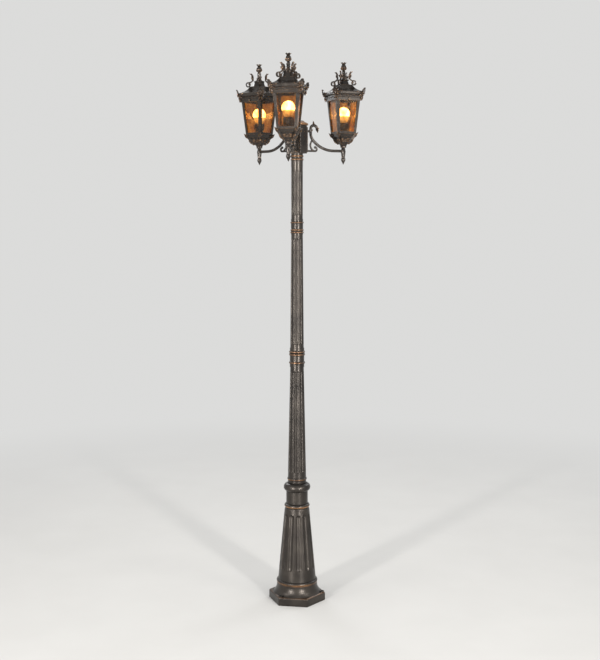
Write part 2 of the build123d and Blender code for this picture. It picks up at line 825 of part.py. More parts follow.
# Cup: round foot, square bowl, band, and four corner ribs that end in ears
band_level = frame_level - cup_band_height
band_half = frame_foot_half - cup_band_inset
band_bore_half = frame_foot_half - frame_wall - pane_thickness - cup_band_ledge
bowl_head_half = band_half - cup_band_proud
rib_head = frame_foot_half * sqrt(2)
rib_foot_level = cup_floor_level + cup_rib_hook
rib_head_level = frame_level - cup_ear_root
ear_tip = rib_head + cup_ear_overhang
with BuildPart() as cup:
    with BuildSketch(Plane.XY.offset(stem_head_level)):
        Circle(stem_collar_reach)
    with BuildSketch(Plane.XY.offset(cup_floor_level)):
        Circle(cup_foot_reach)
    loft()
    with BuildSketch(Plane.XY.offset(cup_floor_level)):
        Rectangle(2 * cup_floor_half, 2 * cup_floor_half)
    with BuildSketch(Plane.XY.offset(band_level)):
        Rectangle(2 * bowl_head_half, 2 * bowl_head_half)
    loft()
    with BuildSketch(Plane.XY.offset(band_level)):
        Rectangle(2 * (band_half - cup_band_flare), 2 * (band_half - cup_band_flare))
    with BuildSketch(Plane.XY.offset(frame_level)):
        Rectangle(2 * band_half, 2 * band_half)
    loft()
    for corner in range(4):
        diagonal = (cos(radians(45 + 90 * corner)), sin(radians(45 + 90 * corner)), 0)
        with BuildSketch(Plane((0, 0, 0), x_dir=diagonal, z_dir=(diagonal[1], -diagonal[0], 0))):
            with BuildLine():
                ThreePointArc(
                    (cup_rib_reach, rib_foot_level),
                    (
                        (cup_rib_reach + rib_head + cup_rib_swell) / 2,
                        (rib_foot_level + rib_head_level - cup_rib_swell) / 2,
                    ),
                    (rib_head, rib_head_level),
                )
                Polyline(
                    (rib_head, rib_head_level),
                    (ear_tip, frame_level + cup_ear_rise),
                    (rib_head - fit_gap, frame_level),
                    (cup_foot_reach - cup_wall, frame_level),
                    (cup_foot_reach - cup_wall, cup_floor_level),
                    (cup_rib_reach - cup_rib_hook, cup_floor_level),
                    (cup_rib_reach, rib_foot_level),
                )
            make_face()
        extrude(amount=cup_rib_thickness / 2, both=True)
    with BuildSketch(Plane.XY.offset(cup_floor_level + cup_wall)):
        Rectangle(2 * (cup_floor_half - cup_wall), 2 * (cup_floor_half - cup_wall))
    with BuildSketch(Plane.XY.offset(band_level)):
        Rectangle(2 * (bowl_head_half - cup_wall), 2 * (bowl_head_half - cup_wall))
    loft(mode=Mode.SUBTRACT)
    with BuildSketch(Plane.XY.offset(band_level)):
        Rectangle(2 * (bowl_head_half - cup_wall), 2 * (bowl_head_half - cup_wall))
    with BuildSketch(Plane.XY.offset(frame_level)):
        Rectangle(2 * band_bore_half, 2 * band_bore_half)
    loft(mode=Mode.SUBTRACT)
    with Locations((0, 0, cup_floor_level)):
        Cylinder(nipple_reach + fit_gap, 4 * cup_foot_height, mode=Mode.SUBTRACT)
write_on_arms(cup.part, "cup", arm_reach)


# Half width of the frame at a height, on its outer face
def frame_half(level):
    return frame_foot_half + frame_lean * (level - frame_level)


# Frame: leaning square shell with a window in each side
sill_level = frame_level + frame_rail_foot
lintel_level = frame_head_level - frame_rail_head
with BuildPart() as frame:
    with BuildSketch(Plane.XY.offset(frame_level)):
        Rectangle(2 * frame_foot_half, 2 * frame_foot_half)
    with BuildSketch(Plane.XY.offset(frame_head_level)):
        Rectangle(2 * frame_head_half, 2 * frame_head_half)
    loft()
    with BuildSketch(Plane.XY.offset(frame_level)):
        Rectangle(2 * (frame_foot_half - frame_wall), 2 * (frame_foot_half - frame_wall))
    with BuildSketch(Plane.XY.offset(frame_head_level)):
        Rectangle(2 * (frame_head_half - frame_wall), 2 * (frame_head_half - frame_wall))
    loft(mode=Mode.SUBTRACT)
    for turn in (0, 90):
        with BuildSketch(Plane.XY.offset(sill_level).rotated((0, 0, turn))):
            Rectangle(2 * (frame_half(sill_level) - frame_post_foot), 4 * frame_head_half)
        with BuildSketch(Plane.XY.offset(lintel_level).rotated((0, 0, turn))):
            Rectangle(2 * (frame_half(lintel_level) - frame_post_head), 4 * frame_head_half)
        loft(mode=Mode.SUBTRACT)
write_on_arms(frame.part, "frame", arm_reach)

# Four flat panes behind the frame, standing on the cup's band
pane_head_level = frame_head_level - pane_lap
with BuildPart() as glass:
    for side in range(4):
        for level in (frame_level, pane_head_level):
            face = frame_half(level) - frame_wall - fit_gap / 2
            with BuildSketch(Plane.XY.offset(level).rotated((0, 0, 90 * side))):
                with Locations((face - pane_thickness / 2, 0)):
                    Rectangle(pane_thickness, 2 * (face - pane_thickness - fit_gap))
        loft()
write_on_arms(glass.part, "glass", arm_reach)

# Corner clips that hold two panes each, inside the top of the frame
clip_level = pane_head_level - clip_height
pane_back = frame_half(clip_level) - frame_wall - pane_thickness - fit_gap
with BuildPart() as clips:
    with PolarLocations(0, 4, start_angle=45):
        with Locations((pane_back * sqrt(2) - clip_width / 2 - fit_gap, 0, clip_level)):
            Box(
                clip_thickness,
                clip_width,
                clip_height,
                align=(Align.MAX, Align.CENTER, Align.MIN),
            )
write_on_arms(clips.part, "clips", arm_reach)

# Hollow nipple that ties finial, stem, cup and lampholder together, and its nut on the cup's floor
nipple_level = stem_foot_level - drop_socket_depth + fit_gap
with BuildPart() as nipple:
    with BuildSketch(Plane.XY.offset(nipple_level)):
        Circle(nipple_reach)
        Circle(nipple_bore, mode=Mode.SUBTRACT)
    extrude(amount=holder_level + nipple_entry - nipple_level)
write_on_arms(nipple.part, "nipple", arm_reach)
with BuildPart() as nipple_nuts:
    for angle in arm_angles.values():
        seat = Location((0, 0, 0), (0, 0, angle)) * Location((arm_reach, 0, cup_floor_level + cup_wall))
        with BuildSketch(Plane(seat)):
            RegularPolygon(radius=nut_reach, side_count=6)
            Circle(nipple_reach + fit_gap, mode=Mode.SUBTRACT)
        extrude(amount=nut_height)
write_node(nipple_nuts.part, "nipple_nuts")

# Lampholder: round body with a screw socket above and the nipple's entry below
with BuildPart() as lampholder:
    with BuildSketch(Plane.XZ):
        with BuildLine():
            Polyline(
                (nipple_reach + fit_gap, holder_level),
                (holder_foot_reach, holder_level),
                (holder_waist_reach, holder_level + nipple_entry),
                (holder_waist_reach, socket_floor_level),
                (holder_reach, socket_floor_level + holder_shoulder),
                (holder_reach, holder_head_level),
                (socket_reach, holder_head_level),
                (socket_reach, socket_floor_level),
                (0, socket_floor_level),
                (0, holder_level + nipple_entry + fit_gap),
                (nipple_reach + fit_gap, holder_level + nipple_entry + fit_gap),
                close=True,
            )
        make_face()
    revolve(axis=Axis.Z)
write_on_arms(lampholder.part, "lampholder", arm_reach)

# Lamp: screw cap, tapered housing and hollow globe
cap_shell_level = housing_level - cap_shell_length
globe_foot_reach = sqrt(globe_reach**2 - globe_centre_rise**2)
globe_core = globe_reach - globe_wall
housing_waist_reach = (cap_shell_reach + globe_foot_reach) / 2 + housing_swell
globe_foot_core = sqrt(globe_core**2 - globe_centre_rise**2)
with BuildPart() as bulb_cap:
    with Locations((0, 0, housing_level)):
        Cylinder(cap_shell_reach, cap_shell_length, align=(Align.CENTER, Align.CENTER, Align.MAX))
    with Locations((0, 0, cap_shell_level)):
        Cylinder(
            cap_pip_reach,
            cap_shell_level - socket_floor_level - fit_gap,
            align=(Align.CENTER, Align.CENTER, Align.MAX),
        )
write_on_arms(bulb_cap.part, "bulb_cap", arm_reach)
with BuildPart() as bulb_housing:
    with BuildSketch(Plane.XZ):
        with BuildLine():
            Line((0, housing_level), (cap_shell_reach, housing_level))
            ThreePointArc(
                (cap_shell_reach, housing_level),
                (housing_waist_reach, (housing_level + globe_foot_level) / 2),
                (globe_foot_reach, globe_foot_level),
            )
            Line((globe_foot_reach, globe_foot_level), (0, globe_foot_level))
            Line((0, globe_foot_level), (0, housing_level))
        make_face()
    revolve(axis=Axis.Z)
write_on_arms(bulb_housing.part, "bulb_housing", arm_reach)
with BuildPart() as bulb_globe:
    with BuildSketch(Plane.XZ):
        with BuildLine():
            ThreePointArc(
                (globe_foot_reach, globe_foot_level),
                (globe_reach, globe_centre_level),
                (0, globe_centre_level + globe_reach),
            )
            Line((0, globe_centre_level + globe_reach), (0, globe_centre_level + globe_core))
            ThreePointArc(
                (0, globe_centre_level + globe_core),
                (globe_core, globe_centre_level),
                (globe_foot_core, globe_foot_level),
            )
            Line((globe_foot_core, globe_foot_level), (globe_foot_reach, globe_foot_level))
        make_face()
    revolve(axis=Axis.Z)
write_on_arms(bulb_globe.part, "bulb_globe", arm_reach)

# Brim of the roof: a square moulding with rounded edges, and a smaller bead under it
roof_bore_half = frame_head_half + roof_skirt_gap
roof_ledge_half = roof_bore_half - roof_ledge
roof_screw_level = roof_foot_level + roof_skirt_drop / 2
leaf_place = roof_brim_half * sqrt(2) - corner_leaf_thickness / 2
with BuildPart() as roof_brim:
    with BuildSketch(Plane.XY.offset(brim_level)):
        Rectangle(2 * roof_brim_half, 2 * roof_brim_half)
    extrude(amount=roof_brim_height)
    fillet(roof_brim.edges().filter_by(Axis.Z, reverse=True), radius=roof_brim_round)
with BuildPart() as roof_bead:
    with BuildSketch(Plane.XY.offset(roof_seat_level + roof_bead_rise)):
        Rectangle(2 * roof_bead_half, 2 * roof_bead_half)
    extrude(amount=roof_bead_height)
    fillet(roof_bead.edges().filter_by(Axis.Z, reverse=True), radius=roof_bead_half - roof_skirt_half)

# Leaf for the brim's corners: lobed outline cut from an upright strip whose tip curls outwards
leaf_foot_level = slope_level - corner_leaf_drop
leaf_tip_level = slope_level + corner_leaf_rise
leaf_lobe = (corner_leaf_width - corner_leaf_tip_width) / 2
with BuildPart() as corner_leaf:
    with BuildSketch(Plane.XZ):
        with BuildLine():
            ThreePointArc(
                (leaf_place, leaf_foot_level),
                (leaf_place, slope_level),
                (leaf_place + corner_leaf_curl, leaf_tip_level),
            )
        trace(line_width=corner_leaf_thickness)
    extrude(amount=corner_leaf_width, both=True)
    with BuildSketch(Plane.YZ):
        with Locations((0, (leaf_foot_level + slope_level) / 2)):
            Rectangle(corner_leaf_foot_width, corner_leaf_drop)
        with Locations((0, slope_level)):
            SlotOverall(corner_leaf_width, 2 * leaf_lobe)
        with Locations((0, slope_level + corner_leaf_rise / 2)):
            Ellipse(corner_leaf_tip_width / 2, corner_leaf_rise / 2)
    extrude(amount=2 * leaf_place, mode=Mode.INTERSECT)

# Roof: hollow square cap with skirt, brim, hollowed slope, round bell with a ring, and corner leaves
slope_halves = roof_slope_steps + ((roof_slope_head_half, roof_slope_height),)
bell_middle = bell_level + roof_bell_height / 2
with BuildPart() as roof:
    with BuildSketch(Plane.XY.offset(roof_foot_level)):
        Rectangle(2 * roof_skirt_half, 2 * roof_skirt_half)
    extrude(amount=brim_level + roof_brim_round - roof_foot_level)
    for half, rise in slope_halves:
        with BuildSketch(Plane.XY.offset(slope_level + rise)):
            Rectangle(2 * half, 2 * half)
    loft(ruled=True)
    with BuildSketch(Plane.XZ):
        with BuildLine():
            ThreePointArc(
                (roof_bell_reach, bell_level),
                (roof_bell_waist_reach, bell_middle),
                (roof_bell_head_reach, roof_ring_level),
            )
            Polyline(
                (roof_bell_head_reach, roof_ring_level),
                (roof_bell_head_reach, finial_level),
                (0, finial_level),
                (0, bell_level),
                (roof_bell_reach, bell_level),
            )
        make_face()
    revolve(axis=Axis.Z)
    with Locations((0, 0, roof_ring_level + roof_ring_height / 2)):
        Torus(roof_ring_reach - roof_ring_height / 2, roof_ring_height / 2)
    with PolarLocations(0, 4, start_angle=45):
        add(corner_leaf.part)
    add(roof_brim.part)
    add(roof_bead.part)
    with BuildSketch(Plane.XY.offset(roof_foot_level)):
        Rectangle(2 * roof_bore_half, 2 * roof_bore_half)
    extrude(amount=roof_skirt_drop, mode=Mode.SUBTRACT)
    with BuildSketch(Plane.XY.offset(roof_seat_level)):
        Rectangle(2 * roof_ledge_half, 2 * roof_ledge_half)
    extrude(amount=roof_brim_lip, mode=Mode.SUBTRACT)
    with BuildSketch(Plane.XY.offset(brim_level)):
        Rectangle(2 * roof_ledge_half, 2 * roof_ledge_half)
    for half, rise in slope_halves[1:]:
        with BuildSketch(Plane.XY.offset(slope_level + rise - roof_wall)):
            Rectangle(2 * (half - roof_wall), 2 * (half - roof_wall))
    loft(ruled=True, mode=Mode.SUBTRACT)
    with Locations((0, 0, roof_ring_level)):
        Cone(
            roof_bell_reach - roof_wall,
            roof_bell_head_reach - roof_wall,
            roof_bell_height + roof_wall,
            align=(Align.CENTER, Align.CENTER, Align.MAX),
            mode=Mode.SUBTRACT,
        )
    with Locations((0, 0, finial_level)):
        Cylinder(finial_spigot_reach + fit_gap, 3 * roof_ring_height, mode=Mode.SUBTRACT)
    with Locations((0, 0, roof_screw_level)):
        Cylinder(roof_screw_shank + fit_gap, 3 * roof_skirt_half, rotation=(90, 0, 0), mode=Mode.SUBTRACT)
write_on_arms(roof.part, "roof", arm_reach)

# Four scrolls round the bell: volute, curved stalk that bears on the ring, and a leaf that leans out
scroll_back = roof_ring_reach + fit_gap
stalk_place = scroll_back + volute_band / 2
stalk_head_level = finial_level + volute_band
volute_place = (stalk_place + volute_out, finial_level - volute_drop)
volute_head_level = volute_place[1] + volute_reach
leaf_back = stalk_place - volute_band / 2
leaf_front = stalk_place + volute_band / 2
leaf_tip = (stalk_place + scroll_leaf_lean, finial_level + scroll_leaf_rise)
leaf_middle = (stalk_head_level + leaf_tip[1]) / 2
volute_start = 90
with BuildPart() as roof_scrolls:
    for corner in range(4):
        out = (cos(radians(45 + 90 * corner)), sin(radians(45 + 90 * corner)), 0)
        upright = Plane((0, 0, 0), x_dir=out, z_dir=(out[1], -out[0], 0))
        with BuildSketch(upright):
            with BuildLine():
                CenterArc(volute_place, volute_reach, volute_start, -volute_turn)
                TangentArc(
                    (volute_place[0], volute_head_level),
                    (stalk_place, stalk_head_level),
                    tangent=(-1, 0),
                )
            trace(line_width=volute_band)
        extrude(amount=roof_scroll_thickness / 2, both=True)
        with BuildSketch(upright):
            with BuildLine():
                ThreePointArc(
                    (leaf_back, finial_level),
                    (leaf_back, leaf_middle),
                    leaf_tip,
                )
                ThreePointArc(
                    leaf_tip,
                    (leaf_back + scroll_leaf_width, leaf_middle),
                    (leaf_front, finial_level),
                )
                Line((leaf_front, finial_level), (leaf_back, finial_level))
            make_face()
        extrude(amount=scroll_leaf_thickness / 2, both=True)
    with Locations((0, 0, bell_level)):
        Cylinder(
            scroll_back,
            2 * roof_bell_height + scroll_leaf_rise,
            align=(Align.CENTER, Align.CENTER, Align.MIN),
            mode=Mode.SUBTRACT,
        )
write_on_arms(roof_scrolls.part, "roof_scrolls", arm_reach)

# Turned finial: flared foot, ring, vase, bud and a scalloped crown
finial_tip_level = finial_level + finial_height
with BuildPart() as finial:
    with BuildSketch(Plane.XZ):
        with BuildLine():
            Polyline(
                (0, finial_tip_level - finial_dish_depth),
                (0, finial_level),
                (finial_foot_reach, finial_level),
                (finial_foot_reach, finial_level + finial_foot_head),
            )
            ThreePointArc(
                (finial_foot_reach, finial_level + finial_foot_head),
                ((finial_foot_reach + 2 * finial_neck_reach) / 3, finial_level + finial_neck_rise / 2),
                (finial_neck_reach, finial_level + finial_neck_rise),
            )
            ThreePointArc(
                (finial_neck_reach, finial_level + finial_neck_rise),
                (finial_ring_reach, finial_level + finial_ring_rise),
                (finial_neck_reach, finial_level + finial_vase_foot),
            )
            ThreePointArc(
                (finial_neck_reach, finial_level + finial_vase_foot),
                (finial_vase_reach, finial_level + finial_vase_belly),
                (finial_waist_reach, finial_level + finial_waist_rise),
            )
            ThreePointArc(
                (finial_waist_reach, finial_level + finial_waist_rise),
                (finial_bud_reach, finial_level + finial_bud_belly),
                (finial_throat_reach, finial_level + finial_throat_rise),
            )
            Polyline(
                (finial_throat_reach, finial_level + finial_throat_rise),
                (finial_crown_reach, finial_tip_level),
                (0, finial_tip_level - finial_dish_depth),
            )
        make_face()
    revolve(axis=Axis.Z)
    with Locations((0, 0, finial_tip_level)):
        with PolarLocations(finial_crown_reach, finial_point_count):
            Cylinder(finial_point_gap, 2 * finial_point_depth, mode=Mode.SUBTRACT)
    with Locations((0, 0, finial_level)):
        Cylinder(
            finial_spigot_reach,
            roof_ring_height,
            align=(Align.CENTER, Align.CENTER, Align.MAX),
        )
write_on_arms(finial.part, "finial", arm_reach)

# Two screws through the roof's skirt that bear on the frame
with BuildPart() as roof_screws:
    for facing in (-1, 1):
        with BuildSketch(Plane((0, 0, roof_screw_level), z_dir=(0, facing, 0))):
            Circle(roof_screw_shank)
        bearing = frame_half(roof_screw_level) + fit_gap
        extrude(amount=roof_skirt_half)
        with BuildSketch(Plane((0, facing * roof_skirt_half, roof_screw_level), z_dir=(0, facing, 0))):
            Circle(roof_screw_head)
        extrude(amount=roof_screw_head_height)
    with Locations((0, 0, roof_screw_level)):
        Box(4 * roof_screw_head, 2 * bearing, 4 * roof_screw_head, mode=Mode.SUBTRACT)
write_on_arms(roof_screws.part, "roof_screws", arm_reach)
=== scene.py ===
import json
import math
from collections import namedtuple
import bmesh
import bpy
from mathutils import Matrix, Vector


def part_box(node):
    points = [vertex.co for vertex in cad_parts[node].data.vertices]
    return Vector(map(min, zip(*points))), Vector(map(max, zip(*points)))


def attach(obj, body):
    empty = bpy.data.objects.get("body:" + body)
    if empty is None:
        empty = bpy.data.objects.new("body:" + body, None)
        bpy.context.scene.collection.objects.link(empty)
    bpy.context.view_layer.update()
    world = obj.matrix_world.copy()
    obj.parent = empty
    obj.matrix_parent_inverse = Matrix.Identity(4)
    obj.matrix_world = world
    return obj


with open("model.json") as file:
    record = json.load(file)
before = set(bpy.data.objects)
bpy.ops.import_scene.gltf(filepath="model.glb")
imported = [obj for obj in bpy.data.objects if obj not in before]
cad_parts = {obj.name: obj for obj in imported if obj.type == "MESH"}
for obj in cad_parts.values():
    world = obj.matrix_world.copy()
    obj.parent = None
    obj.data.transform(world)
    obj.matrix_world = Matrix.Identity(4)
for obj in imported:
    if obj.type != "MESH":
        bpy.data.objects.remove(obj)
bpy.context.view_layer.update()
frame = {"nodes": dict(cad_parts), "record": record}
mm = 0.001
sides = {"front": -90.0, "right": 30.0, "left": 150.0}  # arm angles about the post, degrees


def nodeSpan(node, axis):  # lowest and highest place of a node along an axis, in mm to a tenth
    return [round(corner["xyz".index(axis)] / mm, 1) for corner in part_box(node)]


# Read from the front lantern, in mm: its axis' reach from the post and the levels that dressing is set from
lantern = {
    "reach": -sum(nodeSpan("finial_front", "y")) / 2,
    "roofFoot": nodeSpan("roof_front", "z")[0],
    "roofTop": nodeSpan("roof_front", "z")[1],
    "cupFoot": nodeSpan("cup_front", "z")[0],
    "armFoot": nodeSpan("arm_front", "z")[0],
    "holderTop": nodeSpan("lampholder_front", "z")[1],
}
print("frame loaded:", len(frame["nodes"]), "nodes, lantern", lantern)


def nodeTree(name):
    material = bpy.data.materials.new(name)
    material.use_nodes = True
    tree = material.node_tree
    return material, tree, tree.nodes["Principled BSDF"]


def addNode(tree, kind, **values):
    node = tree.nodes.new(kind)
    for key, value in values.items():
        setattr(node, key, value)
    return node


def setInputs(node, **values):  # an underscore stands for a space in the socket's name
    for key, value in values.items():
        node.inputs[key.replace("_", " ")].default_value = value


def objectCoords(tree):
    return addNode(tree, "ShaderNodeTexCoord").outputs["Object"]


def noiseOn(tree, coords, scale, detail=4.0, rough=0.55):
    noise = addNode(tree, "ShaderNodeTexNoise")
    setInputs(noise, Scale=scale, Detail=detail, Roughness=rough)
    tree.links.new(coords, noise.inputs["Vector"])
    return noise.outputs["Fac"]


def mathOn(tree, operation, first, second):
    node = addNode(tree, "ShaderNodeMath", operation=operation)
    for place, value in enumerate((first, second)):
        if isinstance(value, (int, float)):
            node.inputs[place].default_value = value
        else:
            tree.links.new(value, node.inputs[place])
    return node.outputs[0]


def timesOn(tree, first, *others):
    for other in others:
        first = mathOn(tree, "MULTIPLY", first, other)
    return first


def rangeOn(tree, value, low, high, outLow=0.0, outHigh=1.0):
    node = addNode(tree, "ShaderNodeMapRange", interpolation_type="SMOOTHSTEP")
    tree.links.new(value, node.inputs["Value"])
    setInputs(node, From_Min=low, From_Max=high, To_Min=outLow, To_Max=outHigh)
    return node.outputs["Result"]


def rampOn(tree, value, places, colours):
    ramp = addNode(tree, "ShaderNodeValToRGB")
    for element, place, colour in zip(ramp.color_ramp.elements, places, colours):
        element.position = place
        element.color = (*colour, 1.0)
    tree.links.new(value, ramp.inputs["Fac"])
    return ramp.outputs["Color"]


def mixOn(tree, fac, first, second):
    node = addNode(tree, "ShaderNodeMix", data_type="RGBA")
    tree.links.new(fac, node.inputs["Factor"])
    for key, value in (("A", first), ("B", second)):
        socket = [s for s in node.inputs if s.name == key and s.type == "RGBA"][0]
        if isinstance(value, tuple):
            socket.default_value = (*value, 1.0)
        else:
            tree.links.new(value, socket)
    return [s for s in node.outputs if s.type == "RGBA"][0]


def bumpOn(tree, shader, height, strength, distance):
    bump = addNode(tree, "ShaderNodeBump")
    setInputs(bump, Strength=strength, Distance=distance)
    tree.links.new(height, bump.inputs["Height"])
    tree.links.new(bump.outputs["Normal"], shader.inputs["Normal"])


def splitOn(tree, coords):
    split = addNode(tree, "ShaderNodeSeparateXYZ")
    tree.links.new(coords, split.inputs[0])
    return split.outputs


def lengthOn(tree, vector):
    length = addNode(tree, "ShaderNodeVectorMath", operation="LENGTH")
    tree.links.new(vector, length.inputs[0])
    return length.outputs["Value"]


noiseSpan = (0.3, 0.7)  # part of a noise's range that is spread over a tone or a roughness

# Dark bronze paint over a casting, rubbed to copper on raised edges, and with painted shade in its grooves. A
# noise is its scale and detail, and other pairs are ranges.
bronze = {
    "deep": (0.019, 0.016, 0.0142),
    "brown": (0.054, 0.045, 0.038),
    "cloudNoise": (14.0, 5.0),
    "cloud": (0.3, 0.75),
    "metallic": 0.6,
    "rough": (0.19, 0.29),
    "roughNoise": (60.0, 4.0),
    "grain": 0.04,
    "grainNoise": (420.0, 3.0),
    "grainDepth": 0.6 * mm,
    # painted shade: near-black colour laid into grooves and hollows by ambient occlusion
    "grooveShade": (0.004, 0.0035, 0.003),
    "grooveShadeReach": 12.0 * mm,
    "grooveShadeSamples": 16,
    "grooveRough": 0.25,
    "open": (0.68, 0.95),  # openness at which the painted groove shade is full, and gone
    "copper": (0.30, 0.125, 0.05),
    "gold": (0.46, 0.25, 0.11),
    "polish": 0.1,  # rubbed metal is this much smoother
    "speckNoise": (160.0, 3.0),
    "wear": (0.38, 0.62),
    "edgeRubAndGlint": 0.4,
    "edgeRadius": 2.5 * mm,
    "edgeSamples": 6,
    "edge": (0.01, 0.16),
    "ridgeRubAndGlint": 0.0,
    "ridge": (0.505, 0.57),
    "ridgeWear": (0.3, 0.5, 0.4, 1.0),  # range of specks, and the share of rub it becomes
    "ringFade": 4.0 * mm,
    "ringPatch": (0.35, 0.6),
    "ringLow": 0.35,  # share of a ring's rub that its thinnest patches keep
}
# Carved leaves are rubbed more, along their ridges too, and this paler rub is partly a painted highlight on
# their raised edges
carvedLook = dict(bronze, edgeRubAndGlint=0.8, ridgeRubAndGlint=0.85)
# The post's own pieces are a little lighter and duller, with little grain and hardly any rub on edges
turnedLook = dict(
    bronze,
    deep=(0.022, 0.019, 0.017),
    brown=(0.058, 0.050, 0.043),
    metallic=0.7,
    rough=(0.30, 0.35),
    grain=0.01,
    edgeRubAndGlint=0.02,
)


def openness(tree, look):  # low in grooves, where painted shade darkens the colour and the finish is duller
    hollow = addNode(tree, "ShaderNodeAmbientOcclusion", samples=look["grooveShadeSamples"], only_local=True)
    setInputs(hollow, Distance=look["grooveShadeReach"])
    return rangeOn(tree, hollow.outputs["AO"], *look["open"])


def sharpEdge(tree, look, normal):  # edges show where the rounded normal leaves the true one
    bevel = addNode(tree, "ShaderNodeBevel", samples=look["edgeSamples"])
    setInputs(bevel, Radius=look["edgeRadius"])
    dot = addNode(tree, "ShaderNodeVectorMath", operation="DOT_PRODUCT")
    tree.links.new(bevel.outputs["Normal"], dot.inputs[0])
    tree.links.new(normal, dot.inputs[1])
    return rangeOn(tree, mathOn(tree, "SUBTRACT", 1.0, dot.outputs["Value"]), *look["edge"])


def postReach(tree, split):  # distance from the post's axis
    flat = addNode(tree, "ShaderNodeCombineXYZ")
    for axis in "XY":
        tree.links.new(split[axis], flat.inputs[axis])
    return lengthOn(tree, flat.outputs[0])


def rubbedRing(tree, look, level, reach, cloud, ring):
    low, high, inner, outer, strength = ring
    up = rangeOn(tree, level, low, low + look["ringFade"])
    down = rangeOn(tree, level, high - look["ringFade"], high, 1.0, 0.0)
    patch = rangeOn(tree, cloud, *look["ringPatch"], look["ringLow"] * strength, strength)
    return timesOn(tree, up, down, rangeOn(tree, reach, inner, outer), patch)


def bronzeMaterial(name, look, rings=()):
    material, tree, shader = nodeTree(name)
    coords = objectCoords(tree)
    geometry = addNode(tree, "ShaderNodeNewGeometry")
    cloud = noiseOn(tree, coords, *look["cloudNoise"])
    speck = noiseOn(tree, coords, *look["speckNoise"])
    wear = rangeOn(tree, speck, *look["wear"])
    unshaded = openness(tree, look)
    paint = rampOn(tree, cloud, look["cloud"], (look["deep"], look["brown"]))
    # painted shade: the paint is darkened towards near-black in grooves
    base = mixOn(tree, unshaded, look["grooveShade"], paint)
    # copper rub on worn edges, and on carvings also a painted highlight along edges and ridges
    rubAndGlint = timesOn(tree, sharpEdge(tree, look, geometry.outputs["Normal"]), wear, look["edgeRubAndGlint"])
    if look["ridgeRubAndGlint"]:
        ridge = rangeOn(tree, geometry.outputs["Pointiness"], *look["ridge"], 0.0, look["ridgeRubAndGlint"])
        ridge = timesOn(tree, ridge, rangeOn(tree, speck, *look["ridgeWear"]))
        rubAndGlint = mathOn(tree, "MAXIMUM", rubAndGlint, ridge)
    if rings:
        split = splitOn(tree, coords)
        reach = postReach(tree, split)
        for ring in rings:
            ringRub = rubbedRing(tree, look, split["Z"], reach, cloud, ring)
            rubAndGlint = mathOn(tree, "MAXIMUM", rubAndGlint, ringRub)
    copper = mixOn(tree, wear, look["copper"], look["gold"])
    tree.links.new(mixOn(tree, rubAndGlint, base, copper), shader.inputs["Base Color"])
    setInputs(shader, Metallic=look["metallic"])
    rough = rangeOn(tree, noiseOn(tree, coords, *look["roughNoise"]), *noiseSpan, *look["rough"])
    rough = mathOn(tree, "ADD", rough, rangeOn(tree, unshaded, 0.0, 1.0, look["grooveRough"], 0.0))
    rough = mathOn(tree, "SUBTRACT", rough, timesOn(tree, rubAndGlint, look["polish"]))
    tree.links.new(rough, shader.inputs["Roughness"])
    bumpOn(tree, shader, noiseOn(tree, coords, *look["grainNoise"]), look["grain"], look["grainDepth"])
    return material


# Amber water glass with streaks and seeds
amber = {
    "dark": (0.45, 0.20, 0.035),
    "light": (0.83, 0.49, 0.15),
    "tone": (0.36, 0.66),
    "stretch": (1.0, 1.0, 0.55),
    "rippleNoise": (46.0, 3.0, 0.5),
    "ripple": 0.35,
    "rippleDepth": 3.0 * mm,
    "seedNoise": (130.0, 2.0),
    "seed": (0.4, 0.7),
    "rough": (0.06, 0.22),
    "index": 1.45,
}


def amberGlassMaterial():
    material, tree, shader = nodeTree("amberGlass")
    mapping = addNode(tree, "ShaderNodeMapping")
    setInputs(mapping, Scale=amber["stretch"])
    tree.links.new(objectCoords(tree), mapping.inputs["Vector"])
    drawn = mapping.outputs["Vector"]
    ripple = noiseOn(tree, drawn, *amber["rippleNoise"])
    seed = noiseOn(tree, drawn, *amber["seedNoise"])
    tone = rampOn(tree, ripple, amber["tone"], (amber["dark"], amber["light"]))
    tree.links.new(tone, shader.inputs["Base Color"])
    setInputs(shader, Transmission_Weight=1.0, IOR=amber["index"])
    tree.links.new(rangeOn(tree, seed, *amber["seed"], *amber["rough"]), shader.inputs["Roughness"])
    bumpOn(tree, shader, ripple, amber["ripple"], amber["rippleDepth"])
    return material


# Lit lamp: a frosted globe that glows, and a cream housing with a painted glow of the globe's light that
# fades down its wall
lampGlow = (1.0, 0.86, 0.64)
globe = {
    "frostNoise": (300.0, 2.0),
    "frost": ((0.95, 0.88, 0.74), (1.0, 0.95, 0.84)),
    "glow": (lampGlow, (1.0, 0.9, 0.72)),
    "glowSpan": (0.2, 0.8),
    "strength": 14.0,
    "rough": 0.35,
}
housing = {
    "grainNoise": (60.0, 4.0),
    "cream": ((0.74, 0.67, 0.52), (0.82, 0.76, 0.62)),
    "glow": ((0.05, 0.035, 0.015), lampGlow),
    "glowLevels": (-1.0, 29.0),  # from the holder's top, mm: where the light has faded out and is full
    "strength": 1.6,
    "rough": (0.28, 0.4),
    "pitNoise": (180.0, 2.0),
    "pits": 0.05,
    "pitDepth": 0.5 * mm,
}


def globeMaterial():
    material, tree, shader = nodeTree("frostedGlobe")
    frost = noiseOn(tree, objectCoords(tree), *globe["frostNoise"])
    tree.links.new(rampOn(tree, frost, noiseSpan, globe["frost"]), shader.inputs["Base Color"])
    tree.links.new(rampOn(tree, frost, globe["glowSpan"], globe["glow"]), shader.inputs["Emission Color"])
    setInputs(shader, Emission_Strength=globe["strength"], Roughness=globe["rough"])
    return material


